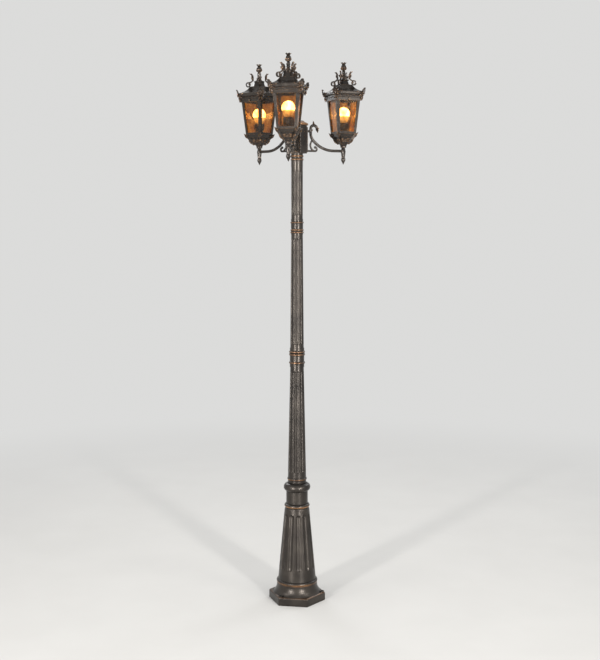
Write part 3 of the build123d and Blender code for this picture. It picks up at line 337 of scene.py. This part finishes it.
def housingMaterial():
    material, tree, shader = nodeTree("creamHousing")
    coords = objectCoords(tree)
    grain = noiseOn(tree, coords, *housing["grainNoise"])
    tree.links.new(rampOn(tree, grain, noiseSpan, housing["cream"]), shader.inputs["Base Color"])
    levels = [(lantern["holderTop"] + level) * mm for level in housing["glowLevels"]]
    lit = rangeOn(tree, splitOn(tree, coords)["Z"], *levels)
    # painted glow: the housing's top lit by the globe, fading downwards
    tree.links.new(rampOn(tree, lit, (0.0, 1.0), housing["glow"]), shader.inputs["Emission Color"])
    setInputs(shader, Emission_Strength=housing["strength"])
    tree.links.new(rangeOn(tree, grain, *noiseSpan, *housing["rough"]), shader.inputs["Roughness"])
    pits = noiseOn(tree, coords, *housing["pitNoise"])
    bumpOn(tree, shader, pits, housing["pits"], housing["pitDepth"])
    return material


# Plain finishes with a fine grain, by material slot
grained = {
    "lamp_cap": {
        "name": "nickelCap", "tones": ((0.5, 0.5, 0.52), (0.7, 0.7, 0.7)),
        "scale": 240.0, "metallic": 1.0, "rough": (0.22, 0.4), "bump": 0.08,
    },
    "holder_plastic": {
        "name": "blackHolder", "tones": ((0.012, 0.011, 0.010), (0.03, 0.028, 0.026)),
        "scale": 90.0, "metallic": 0.0, "rough": (0.4, 0.6), "bump": 0.12,
    },
    "fitting_brass": {
        "name": "turnedBrass", "tones": ((0.5, 0.33, 0.1), (0.72, 0.52, 0.2)),
        "scale": 180.0, "metallic": 1.0, "rough": (0.25, 0.42), "bump": 0.1,
    },
    "screw_steel": {
        "name": "bronzedSteel", "tones": ((0.05, 0.04, 0.032), (0.13, 0.1, 0.075)),
        "scale": 220.0, "metallic": 0.8, "rough": (0.32, 0.5), "bump": 0.12,
    },
    "gasket_rubber": {
        "name": "gasketRubber", "tones": ((0.008, 0.008, 0.008), (0.022, 0.022, 0.022)),
        "scale": 200.0, "metallic": 0.0, "rough": (0.6, 0.8), "bump": 0.2,
    },
    "terminal_plastic": {
        "name": "terminalWhite", "tones": ((0.68, 0.67, 0.6), (0.8, 0.79, 0.74)),
        "scale": 120.0, "metallic": 0.0, "rough": (0.3, 0.45), "bump": 0.08,
    },
}
grainBump = {"finer": 3.0, "detail": 2.0, "depth": 0.5 * mm}


def grainedMaterial(look):
    material, tree, shader = nodeTree(look["name"])
    coords = objectCoords(tree)
    grain = noiseOn(tree, coords, look["scale"])
    tree.links.new(rampOn(tree, grain, noiseSpan, look["tones"]), shader.inputs["Base Color"])
    setInputs(shader, Metallic=look["metallic"])
    tree.links.new(rangeOn(tree, grain, *noiseSpan, *look["rough"]), shader.inputs["Roughness"])
    fine = noiseOn(tree, coords, look["scale"] * grainBump["finer"], grainBump["detail"])
    bumpOn(tree, shader, fine, look["bump"], grainBump["depth"])
    return material


finishes = {slot: grainedMaterial(look) for slot, look in grained.items()}
finishes["amber_glass"] = amberGlassMaterial()
finishes["lamp_globe"] = globeMaterial()
finishes["lamp_housing"] = housingMaterial()
plainBronze = bronzeMaterial("bronzeCasting", bronze)
carvedBronze = bronzeMaterial("bronzeCarving", carvedLook)

# The post's own pieces with their rings of rubbed copper, in metres: low and high level, reach at which the
# rub starts and is full, and its strength. The hub cap's ring is also a painted warm glow of lamplight.
postRings = {
    "base_pedestal": (
        (0.0305, 0.0385, 0.1040, 0.1070, 0.20),
        (0.0760, 0.0880, 0.0870, 0.0892, 0.70),
        (0.4110, 0.4230, 0.0512, 0.0546, 0.70),
        (0.4700, 0.4880, 0.0565, 0.0580, 0.20),
    ),
    "lower_shaft": ((0.5310, 0.5410, 0.0406, 0.0424, 0.70),),
    "middle_shaft": (),
    "upper_shaft": (),
    "lower_coupling": ((1.0380, 1.1120, 0.0330, 0.0345, 0.34),),
    "upper_coupling": ((1.5960, 1.6600, 0.0272, 0.0285, 0.34),),
    "neck_collar": ((1.8800, 1.9400, 0.0268, 0.0280, 0.34),),
    # rubbed copper that also stands in for warm lamplight falling on the cap: painted light
    "hub_cap": ((2.0515, 2.0710, 0.0270, 0.0300, 0.75),),
}
slotOf = {entry["node"]: entry["material_slot"] for entry in frame["record"]["subparts"]}
for nodeName in frame["nodes"]:
    finish = finishes.get(slotOf[nodeName], plainBronze)
    if nodeName in postRings:
        finish = bronzeMaterial("bronzeTurned_" + nodeName, turnedLook, postRings[nodeName])
    piece = bpy.data.objects[nodeName]
    piece.data.materials.clear()
    piece.data.materials.append(finish)
print("finishes set")


def clearPick():
    bpy.ops.object.select_all(action="DESELECT")


def pickOnly(piece):
    clearPick()
    piece.select_set(True)
    bpy.context.view_layer.objects.active = piece


def editMode(piece):  # with everything picked
    pickOnly(piece)
    bpy.ops.object.mode_set(mode="EDIT")
    bpy.ops.mesh.select_all(action="SELECT")


def objectMode():
    bpy.ops.object.mode_set(mode="OBJECT")


def pickVerts(piece, test):
    mesh = bmesh.from_edit_mesh(piece.data)
    for vert in mesh.verts:
        vert.select = test(vert.co)
    mesh.select_flush_mode()
    bmesh.update_edit_mesh(piece.data)


def freeze():
    bpy.ops.object.transform_apply(location=True, rotation=True, scale=True)


def settle(piece, place):
    piece.matrix_world = place
    pickOnly(piece)
    freeze()
    return piece


def copyTo(piece, place):
    twin = piece.copy()
    twin.data = piece.data.copy()
    bpy.context.scene.collection.objects.link(twin)
    return settle(twin, place)


def joinAs(pieces, name):
    pickOnly(pieces[0])
    for piece in pieces[1:]:
        piece.select_set(True)
    if len(pieces) > 1:
        bpy.ops.object.join()
    joined = bpy.context.view_layer.objects.active
    joined.name = name
    joined.data.name = name
    return joined


def shapeBy(piece, kind, **values):  # adds a modifier and applies it
    modifier = piece.modifiers.new(kind.lower(), kind)
    for key, value in values.items():
        setattr(modifier, key, value)
    pickOnly(piece)
    bpy.ops.object.modifier_apply(modifier=modifier.name)


softening = {"factor": 0.5, "iterations": 3}


def castSmooth(piece, voxel):  # melts joined lobes into one casting
    shapeBy(piece, "REMESH", mode="VOXEL", voxel_size=voxel * mm)
    shapeBy(piece, "SMOOTH", **softening)
    bpy.ops.object.shade_smooth()
    return piece


def smoothBelow(degrees):
    bpy.ops.object.shade_smooth_by_angle(angle=math.radians(degrees))


def turned(degrees, axis):
    return Matrix.Rotation(math.radians(degrees), 4, axis)


def moved(x, y, z):  # in mm
    return Matrix.Translation(Vector((x, y, z)) * mm)


def armTurn(side):  # turns a piece from the +X side round to its arm
    return turned(sides[side], "Z")


def lanternPlace(side):  # lantern axis of a side, turned with its arm
    return armTurn(side) @ moved(lantern["reach"], 0.0, 0.0)


def giveTo(piece, body, finish):
    piece.data.materials.clear()
    piece.data.materials.append(finish)
    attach(piece, body)


def spread(master, name, bodyOf, count, first, finish=carvedBronze):
    for side in sides:  # copies round each lantern's axis
        twins = []
        for step in range(count):
            turn = turned(first + 360.0 / count * step, "Z")
            twins.append(copyTo(master, lanternPlace(side) @ turn))
        giveTo(joinAs(twins, name + "_" + side), bodyOf(side), finish)
    bpy.data.objects.remove(master, do_unlink=True)


def onRoof(side):
    return "roof_" + side


def onPost(side):
    return "post"


# One lobe of a leaf, in mm and degrees. Its root lies out from the axis, across, and up from a datum.
lobeRow = namedtuple("lobeRow", "length width thick out across level fan lean bow")
lobeShape = {
    "segments": 16,
    "rings": 12,
    "pinches": ((0.55, 0.82), (0.8, 0.6)),  # share of the length from which the lobe narrows, and by how much
    "bowRings": 8,
}


def lobe(length, width, thick, bow=0.0):  # pointed, with its root at the origin, growing up
    clearPick()
    around, along = lobeShape["segments"], lobeShape["rings"]
    bpy.ops.mesh.primitive_uv_sphere_add(segments=around, ring_count=along, radius=1.0)
    piece = bpy.context.object
    editMode(piece)
    bpy.ops.transform.resize(value=(thick / 2, width / 2, length / 2), center_override=(0.0, 0.0, 0.0))
    bpy.ops.transform.translate(value=(0.0, 0.0, length / 2))
    for share, pinch in lobeShape["pinches"]:
        pickVerts(piece, lambda point: point.z > share * length)
        bpy.ops.transform.resize(value=(pinch, pinch, 1.0), center_override=(0.0, 0.0, length))
    if bow:  # middle rings stand out further than the ends
        count = lobeShape["bowRings"]
        for ring in range(count):
            pickVerts(piece, lambda point: ring <= count * point.z / length < ring + 1)
            bpy.ops.transform.translate(value=(bow * math.sin(math.pi * (ring + 0.5) / count), 0.0, 0.0))
    objectMode()
    return piece


def leafFrom(leaf, name):  # a lobe off the middle gets a twin on the other hand
    lobes = []
    for row in (lobeRow(*numbers) for numbers in leaf["lobes"]):
        for hand in (1.0, -1.0) if row.across else (1.0,):
            piece = lobe(row.length * mm, row.width * mm, row.thick * mm, row.bow * mm)
            root = moved(row.out, hand * row.across, lantern[leaf["datum"]] + row.level)
            lobes.append(settle(piece, root @ turned(row.lean, "Y") @ turned(hand * row.fan, "X")))
    return castSmooth(joinAs(lobes, name), leaf["voxel"])


# Carved leaves on the brim's corners: midrib, side lobes and a lower leaf
brimLeaf = {"voxel": 0.7, "datum": "roofFoot", "lobes": (
    # length, width, thick, out, across, level, fan, lean, bow
    (16.5, 9.5, 4.4, 92.2, 0.0, 34.7, 0.0, 11.0, 0.0),
    (14.0, 2.0, 5.6, 92.4, 0.0, 34.7, 0.0, 11.0, 0.0),
    (13.5, 8.0, 4.2, 92.4, 2.4, 33.7, -52.0, 10.0, 0.0),
    (11.0, 1.8, 5.4, 92.7, 2.4, 33.7, -52.0, 10.0, 0.0),
    (12.0, 7.0, 4.0, 92.6, 2.5, 29.7, -78.0, 4.0, 0.0),
    (18.0, 6.0, 4.6, 92.8, 0.0, 21.7, 0.0, 3.0, 0.0),
)}
spread(leafFrom(brimLeaf, "brimLeaf"), "brimLeaves", onRoof, 4, 45.0)

# Acanthus that wraps each corner along the brim: long leaf, upper and lower lobes, a lobe over the bead
brimWrap = {"voxel": 0.8, "datum": "roofFoot", "lobes": (
    (30.0, 11.0, 6.0, 66.2, 62.0, 27.7, 72.0, 0.0, 1.0),
    (26.0, 2.0, 8.4, 66.4, 62.0, 27.7, 72.0, 0.0, 1.0),
    (16.0, 8.5, 5.0, 66.2, 60.0, 26.7, 28.0, -14.0, 0.0),
    (20.0, 9.0, 5.5, 66.0, 61.0, 25.7, 112.0, 0.0, 0.5),
    (17.0, 2.0, 7.6, 66.2, 61.0, 25.7, 112.0, 0.0, 0.5),
    (17.0, 8.0, 5.5, 63.2, 58.5, 17.7, 158.0, 0.0, 0.5),
)}
spread(leafFrom(brimWrap, "brimWrap"), "brimWraps", onRoof, 4, 0.0)
print("brim leaves carved")

# Thin skin over each roof's slope, in mm: one smooth hollow where the casting has ruled steps
roofSlope = {
    "points": ((60.0, 0.0), (50.0, 4.0), (40.5, 10.5), (33.0, 18.5), (28.0, 28.0)),  # half width and rise
    "level": 39.0,  # from the roof's foot
    "stand": 0.2,
    "wall": 1.2,
    "fineness": 5,
    "hipAngle": 20.0,
}


def hollowCurve(points, fineness):  # runs from chord middle to chord middle, along each chord there
    inner = points[1:-1]
    middles = [tuple((a + b) / 2 for a, b in zip(*pair)) for pair in zip(inner, inner[1:])]
    knots = [points[0], *middles, points[-1]]
    curve = [points[0]]
    for start, pull, end in zip(knots, inner, knots[1:]):
        for step in range(1, fineness + 1):
            share = step / fineness
            weights = ((1.0 - share) ** 2, 2.0 * share * (1.0 - share), share ** 2)
            curve.append(tuple(sum(w * p for w, p in zip(weights, trio)) for trio in zip(start, pull, end)))
    return curve


def slopeSkin():
    stand = roofSlope["stand"]
    curve = hollowCurve(roofSlope["points"], roofSlope["fineness"])
    rings = [(half + stand, rise + stand) for half, rise in curve]
    half, rise = rings[0]
    clearPick()
    bpy.ops.mesh.primitive_plane_add(size=2.0 * half * mm)
    piece = settle(bpy.context.object, moved(0.0, 0.0, lantern["roofFoot"] + roofSlope["level"] + rise))
    editMode(piece)
    bpy.ops.mesh.delete(type="ONLY_FACE")
    bpy.ops.mesh.select_all(action="SELECT")
    for (half, rise), (nextHalf, nextRise) in zip(rings, rings[1:]):
        lift = (0.0, 0.0, (nextRise - rise) * mm)
        bpy.ops.mesh.extrude_region_move(TRANSFORM_OT_translate={"value": lift})
        shrink = nextHalf / half
        bpy.ops.transform.resize(value=(shrink, shrink, 1.0), center_override=(0.0, 0.0, 0.0))
    bpy.ops.mesh.select_all(action="SELECT")
    bpy.ops.mesh.normals_make_consistent(inside=False)
    objectMode()
    shapeBy(piece, "SOLIDIFY", thickness=roofSlope["wall"] * mm, offset=-1.0)
    smoothBelow(roofSlope["hipAngle"])
    return piece


spread(slopeSkin(), "roofSlopes", onRoof, 1, 0.0, plainBronze)
print("roof slopes smoothed")

# Leaves and eyes on the roof's scrolls: long leaf that curls out at the tip, side leaves, bud in the volute
scrollLeaf = {"voxel": 0.7, "datum": "roofTop", "lobes": (
    (33.0, 10.5, 6.5, 26.6, 0.0, 1.2, 0.0, 11.0, 1.5),
    (28.0, 2.2, 8.6, 26.8, 0.0, 1.2, 0.0, 11.0, 1.5),
    (12.0, 6.5, 4.6, 32.0, 0.0, 26.7, 0.0, 58.0, 0.0),
    (17.0, 6.5, 4.6, 27.8, 2.2, 4.7, -24.0, 18.0, 1.0),
    (11.0, 8.0, 11.0, 41.2, 0.0, -18.7, 0.0, 0.0, 0.0),
    (16.0, 9.0, 4.6, 30.5, 0.0, -2.3, 0.0, 108.0, 1.5),
)}
spread(leafFrom(scrollLeaf, "scrollLeaf"), "scrollLeaves", onRoof, 4, 45.0)
print("roof scrolls carved")

# Ears and feet of the cup's corner ribs: a leaf up to the ear, one along the rib, a bud at the foot
earLeaf = {"voxel": 0.7, "datum": "cupFoot", "lobes": (
    (27.0, 9.5, 5.0, 50.5, 0.0, 35.0, 0.0, 37.0, 1.5),
    (22.0, 2.0, 7.0, 51.5, 0.0, 36.0, 0.0, 37.0, 1.5),
    (13.0, 7.0, 4.2, 53.0, 2.0, 40.0, -30.0, 34.0, 1.0),
    (30.0, 8.0, 5.0, 26.5, 0.0, 10.5, 0.0, 43.0, 4.2),
    (9.0, 9.4, 8.0, 25.0, 0.0, 6.6, 0.0, 10.0, 0.0),
)}
spread(leafFrom(earLeaf, "earLeaf"), "earLeaves", onPost, 4, 45.0)
print("cup ribs carved")

# Carving on the four faces of each cup, in mm and degrees: two volutes and three small buds
cupCarving = {
    "level": 23.5,  # from the cup's foot
    "reach": 22.0,
    "tilt": 21.2,
    "voxel": 0.6,
    "tube": 1.6,
    "tubeSides": 10,
    "centre": (11.0, 2.0),
    "radius": 6.2,
    "start": 20.0,  # from straight down, towards the face's middle
    "turns": ((230.0, 0.6), (200.0, 0.55), (160.0, 0.5)),  # sweep, and the next turn's share of the radius
    "stepAngle": 20.0,
    "taper": 0.86,
    "buds": ((14.0, 5.5, 0.0), (10.0, 4.2, 38.0), (10.0, 4.2, -38.0)),  # length, width and fan
    "budThick": 4.0,
    "budDrop": 9.0,
}


def rayAt(heading):
    return Vector((math.cos(heading), math.sin(heading), 0.0))


def volute(hand):  # spun scroll in the XY plane, each turn smaller than the last
    heading = math.radians(270.0 - hand * cupCarving["start"])
    radius = cupCarving["radius"] * mm
    across, up = cupCarving["centre"]
    middle = Vector((hand * across, up, 0.0)) * mm
    clearPick()
    bpy.ops.mesh.primitive_circle_add(
        vertices=cupCarving["tubeSides"],
        radius=cupCarving["tube"] * mm,
        fill_type="NGON",
        location=middle + rayAt(heading) * radius,
        rotation=(math.pi / 2, 0.0, heading),
    )
    piece = bpy.context.object
    freeze()
    editMode(piece)
    for sweep, share in cupCarving["turns"]:
        steps = int(sweep / cupCarving["stepAngle"])
        angle = hand * math.radians(sweep)
        bpy.ops.mesh.spin(steps=steps, angle=-angle, center=middle, axis=(0.0, 0.0, 1.0))
        heading += angle
        tip = middle + rayAt(heading) * radius
        middle = tip + (middle - tip) * share
        radius *= share
        bpy.ops.transform.resize(value=[cupCarving["taper"]] * 3, center_override=tip)
    bpy.ops.mesh.select_all(action="SELECT")
    bpy.ops.mesh.fill_holes(sides=0)
    bpy.ops.mesh.normals_make_consistent(inside=False)
    objectMode()
    return piece


carving = [volute(hand) for hand in (1, -1)]
# a bud's length lies along the carving's Y and its thickness along Z
lying = Matrix(((0, 1, 0, 0), (0, 0, 1, 0), (1, 0, 0, 0), (0, 0, 0, 1)))
for length, width, fan in cupCarving["buds"]:
    bud = lobe(length * mm, width * mm, cupCarving["budThick"] * mm)
    carving.append(settle(bud, moved(0.0, -cupCarving["budDrop"], 0.0) @ lying @ turned(fan, "X")))
faceCarving = castSmooth(joinAs(carving, "cupCarving"), cupCarving["voxel"])
tilt = math.radians(cupCarving["tilt"])
# the carving's X runs across the face, its Y up the face and its Z out of it
onFace = Matrix((
    (0.0, math.sin(tilt), math.cos(tilt), 0.0),
    (1.0, 0.0, 0.0, 0.0),
    (0.0, math.cos(tilt), -math.sin(tilt), 0.0),
    (0.0, 0.0, 0.0, 1.0),
))
settle(faceCarving, moved(cupCarving["reach"], 0.0, lantern["cupFoot"] + cupCarving["level"]) @ onFace)
spread(faceCarving, "cupCarving", onPost, 4, 0.0)
print("cup faces carved")

# Petals that close round the finial's bud, and leaves on its flared foot
petal = {"voxel": 0.6, "datum": "roofTop", "lobes": (
    (23.0, 9.5, 4.0, 5.6, 0.0, 38.2, 0.0, 2.0, 5.4),
    (20.0, 1.8, 5.4, 5.9, 0.0, 38.2, 0.0, 2.0, 5.4),
)}
spread(leafFrom(petal, "petal"), "finialPetals", onRoof, 6, 30.0)
footLeaf = {"voxel": 0.6, "datum": "roofTop", "lobes": (
    (15.0, 7.0, 3.6, 13.4, 0.0, 0.9, 0.0, -27.0, -1.6),
    (13.0, 1.6, 5.0, 13.6, 0.0, 0.9, 0.0, -27.0, -1.6),
)}
spread(leafFrom(footLeaf, "footLeaf"), "finialFoot", onRoof, 6, 0.0)
print("finials carved")

# Leaves on the arm's hook and bracket, whose roots lie out from the post's axis
armLeaf = {"voxel": 0.7, "datum": "armFoot", "lobes": (
    (26.0, 13.0, 6.5, 88.2, 0.0, 122.0, 0.0, 165.0, 1.5),
    (22.0, 2.2, 8.6, 88.4, 0.0, 122.0, 0.0, 165.0, 1.5),
    (19.0, 8.0, 5.0, 88.6, 1.5, 120.0, -36.0, 160.0, 1.0),
    (15.0, 8.0, 5.0, 87.5, 0.0, 121.0, 0.0, 110.0, 1.0),
    (20.0, 8.0, 5.0, 75.6, 0.0, 129.5, 0.0, -10.0, 0.0),
    (12.0, 6.0, 4.6, 75.6, 1.2, 130.0, -40.0, -6.0, 0.0),
    (16.0, 9.0, 5.0, 62.0, 0.0, 101.0, 0.0, 34.0, 1.5),
    (18.0, 8.0, 5.0, 71.0, 0.0, 69.0, 0.0, -150.0, 1.5),
)}
armCarving = leafFrom(armLeaf, "armLeaf")
for side in sides:
    leaves = joinAs([copyTo(armCarving, armTurn(side))], "armLeaves_" + side)
    giveTo(leaves, "post", carvedBronze)
bpy.data.objects.remove(armCarving, do_unlink=True)
print("arm leaves carved")

# Slotted screw heads, in mm: knurled ones on the roofs, domed ones on the arms' plates
roofScrew = {"reach": 5.1, "height": 5.4, "facets": 40, "dome": 0.6, "knurl": 0.93, "out": 61.1, "level": 5.5}
armScrew = {"reach": 4.9, "height": 3.6, "facets": 32, "dome": 1.5, "out": 42.81, "levels": (45.0, 83.0)}
screwHead = {"domeSteps": 4, "slotWidth": 1.1, "slotDepth": 1.2, "smooth": 35.0}


def screwBlank(screw):  # stays in edit mode
    reach, height = screw["reach"] * mm, screw["height"] * mm
    clearPick()
    bpy.ops.mesh.primitive_cylinder_add(vertices=screw["facets"], radius=reach, depth=height)
    piece = settle(bpy.context.object, moved(0.0, 0.0, screw["height"] / 2))
    editMode(piece)
    pickVerts(piece, lambda point: point.z > height / 2)
    bpy.ops.mesh.bevel(offset=screw["dome"] * mm, segments=screwHead["domeSteps"], affect="EDGES")
    return piece


def cutSlot(piece, screw):
    clearPick()
    bpy.ops.mesh.primitive_cube_add(size=1.0, location=(0.0, 0.0, screw["height"] * mm))
    cutter = bpy.context.object
    cutter.scale = Vector((screwHead["slotWidth"], 3.0 * screw["reach"], 2.0 * screwHead["slotDepth"])) * mm
    shapeBy(piece, "BOOLEAN", operation="DIFFERENCE", object=cutter)
    bpy.data.objects.remove(cutter, do_unlink=True)
    smoothBelow(screwHead["smooth"])


knurled = screwBlank(roofScrew)
facetAngle = 2.0 * math.pi / roofScrew["facets"]
knurl = (roofScrew["knurl"], roofScrew["knurl"], 1.0)
pickVerts(knurled, lambda point: round(math.atan2(point.y, point.x) / facetAngle) % 2 == 0)
bpy.ops.transform.resize(value=knurl, center_override=(0.0, 0.0, 0.0))
objectMode()
cutSlot(knurled, roofScrew)
domed = screwBlank(armScrew)
objectMode()
cutSlot(domed, armScrew)
for side in sides:
    heads = []
    for facing in (1, -1):
        seat = moved(0.0, facing * roofScrew["out"], lantern["roofFoot"] + roofScrew["level"])
        heads.append(copyTo(knurled, lanternPlace(side) @ seat @ turned(-facing * 90.0, "X")))
    giveTo(joinAs(heads, "roofScrewHeads_" + side), "roof_" + side, finishes["screw_steel"])
    heads = []
    for level in armScrew["levels"]:
        seat = moved(armScrew["out"], 0.0, lantern["armFoot"] + level)
        heads.append(copyTo(domed, armTurn(side) @ seat @ turned(90.0, "Y")))
    giveTo(joinAs(heads, "armScrewHeads_" + side), "post", finishes["screw_steel"])
for master in (knurled, domed):
    bpy.data.objects.remove(master, do_unlink=True)
print("screw heads cut")

# Ribs moulded on the lampholder's skirt, in mm, hung a drop below the holder's top
holderRib = {
    "count": 18,
    "reach": 19.6,
    "drop": 1.5,
    "height": 19.5,
    "width": 2.6,
    "depth": 1.8,
    "round": 0.8,
    "roundSteps": 3,
    "smooth": 40.0,
}
clearPick()
bpy.ops.mesh.primitive_cube_add(size=1.0)
rib = bpy.context.object
editMode(rib)
ribSize = Vector((holderRib["depth"], holderRib["width"], holderRib["height"])) * mm
bpy.ops.transform.resize(value=ribSize, center_override=(0.0, 0.0, 0.0))
bpy.ops.mesh.bevel(offset=holderRib["round"] * mm, segments=holderRib["roundSteps"], affect="EDGES")
objectMode()
smoothBelow(holderRib["smooth"])
ribLevel = lantern["holderTop"] - holderRib["drop"] - holderRib["height"] / 2
settle(rib, moved(holderRib["reach"], 0.0, ribLevel))
spread(rib, "holderRibs", onPost, holderRib["count"], 0.0, finishes["holder_plastic"])
print("lampholders ribbed")

# Stage: pale floor and backdrop, soft lamps, camera at the photograph's angle
stage = {
    "size": 120.0,
    "floor": ((0.58, 0.576, 0.565), (0.60, 0.596, 0.585)),
    "floorScale": 3.0,
    "rough": 0.9,
    "specular": 0.1,
    "sky": (0.84, 0.84, 0.83, 1.0),
    "skyStrength": 0.85,
    "fade": (1.6, 4.4),  # the floor melts into the sky's tone between these distances, so no horizon shows
}
clearPick()
bpy.ops.mesh.primitive_plane_add(size=stage["size"], location=(0.0, 0.0, 0.0))
floor = bpy.context.object
floor.name = "floor"
floorMaterial, floorTree, floorShader = nodeTree("paleFloor")
floorCoords = objectCoords(floorTree)
floorNoise = noiseOn(floorTree, floorCoords, stage["floorScale"])
floorTone = rampOn(floorTree, floorNoise, noiseSpan, stage["floor"])
floorTree.links.new(floorTone, floorShader.inputs["Base Color"])
setInputs(floorShader, Roughness=stage["rough"], Specular_IOR_Level=stage["specular"])
farTone = addNode(floorTree, "ShaderNodeEmission")
setInputs(farTone, Color=stage["sky"], Strength=stage["skyStrength"])
melt = addNode(floorTree, "ShaderNodeMixShader")
away = rangeOn(floorTree, lengthOn(floorTree, floorCoords), *stage["fade"])
floorTree.links.new(away, melt.inputs["Fac"])
floorTree.links.new(floorShader.outputs["BSDF"], melt.inputs[1])
floorTree.links.new(farTone.outputs["Emission"], melt.inputs[2])
floorTree.links.new(melt.outputs["Shader"], floorTree.nodes["Material Output"].inputs["Surface"])
floor.data.materials.append(floorMaterial)

world = bpy.data.worlds.new("softStudio")
bpy.context.scene.world = world
world.use_nodes = True
setInputs(world.node_tree.nodes["Background"], Color=stage["sky"], Strength=stage["skyStrength"])

# Lamps, in metres, watts and degrees: two upright strips in front and four soft squares, aimed at the post
strip = {"aim": 1.5, "size": (0.3, 2.8), "watts": 70.0, "colour": (1.0, 0.97, 0.93), "fan": 100.0}
square = {"aim": 1.6, "size": (1.2, 1.2), "watts": 25.0, "colour": (1.0, 0.97, 0.93), "fan": 180.0}
behind = dict(square, watts=30.0, colour=(0.95, 0.97, 1.0))
lamps = {
    "keyLamp": dict(strip, place=(-1.9, -4.2, 1.5)),
    "frontLamp": dict(strip, place=(2.7, -3.7, 1.5)),
    "sideLamp": dict(square, place=(3.2, -1.6, 2.6), colour=(1.0, 0.96, 0.9)),
    "fillLamp": dict(square, place=(-2.9, -2.3, 2.8)),
    "backLamp": dict(behind, place=(2.0, 2.8, 3.0)),
    "rimLamp": dict(behind, place=(-2.0, 2.8, 3.0)),
}
for lampName, lamp in lamps.items():
    lampData = bpy.data.lights.new(lampName, "AREA")
    lampData.energy = lamp["watts"]
    lampData.shape = "RECTANGLE"
    lampData.size, lampData.size_y = lamp["size"]
    lampData.color = lamp["colour"]
    lampData.spread = math.radians(lamp["fan"])
    lampObject = bpy.data.objects.new(lampName, lampData)
    bpy.context.scene.collection.objects.link(lampObject)
    lampObject.location = lamp["place"]
    lampObject.visible_camera = False
    x, y, z = lamp["place"]
    tip = math.atan2(math.hypot(x, y), z - lamp["aim"])
    lampObject.rotation_euler = (tip, 0.0, math.atan2(-y, -x) - math.pi / 2)

view = {
    "distance": 4.669,
    "height": 1.690,
    "pitch": 6.15,
    "azimuth": 9.5,
    "lens": 59.73,
    "sensor": 36.0,
    "shift": 0.0045,
}
cameraData = bpy.data.cameras.new("photoCamera")
cameraData.lens = view["lens"]
cameraData.sensor_width = view["sensor"]
cameraData.shift_x = view["shift"]
camera = bpy.data.objects.new("photoCamera", cameraData)
bpy.context.scene.collection.objects.link(camera)
turn = math.radians(view["azimuth"])
camera.location = (view["distance"] * math.sin(turn), -view["distance"] * math.cos(turn), view["height"])
camera.rotation_euler = (math.radians(90.0 - view["pitch"]), 0.0, turn)
bpy.context.scene.camera = camera
bpy.context.scene.view_settings.view_transform = "Standard"
print("stage set")
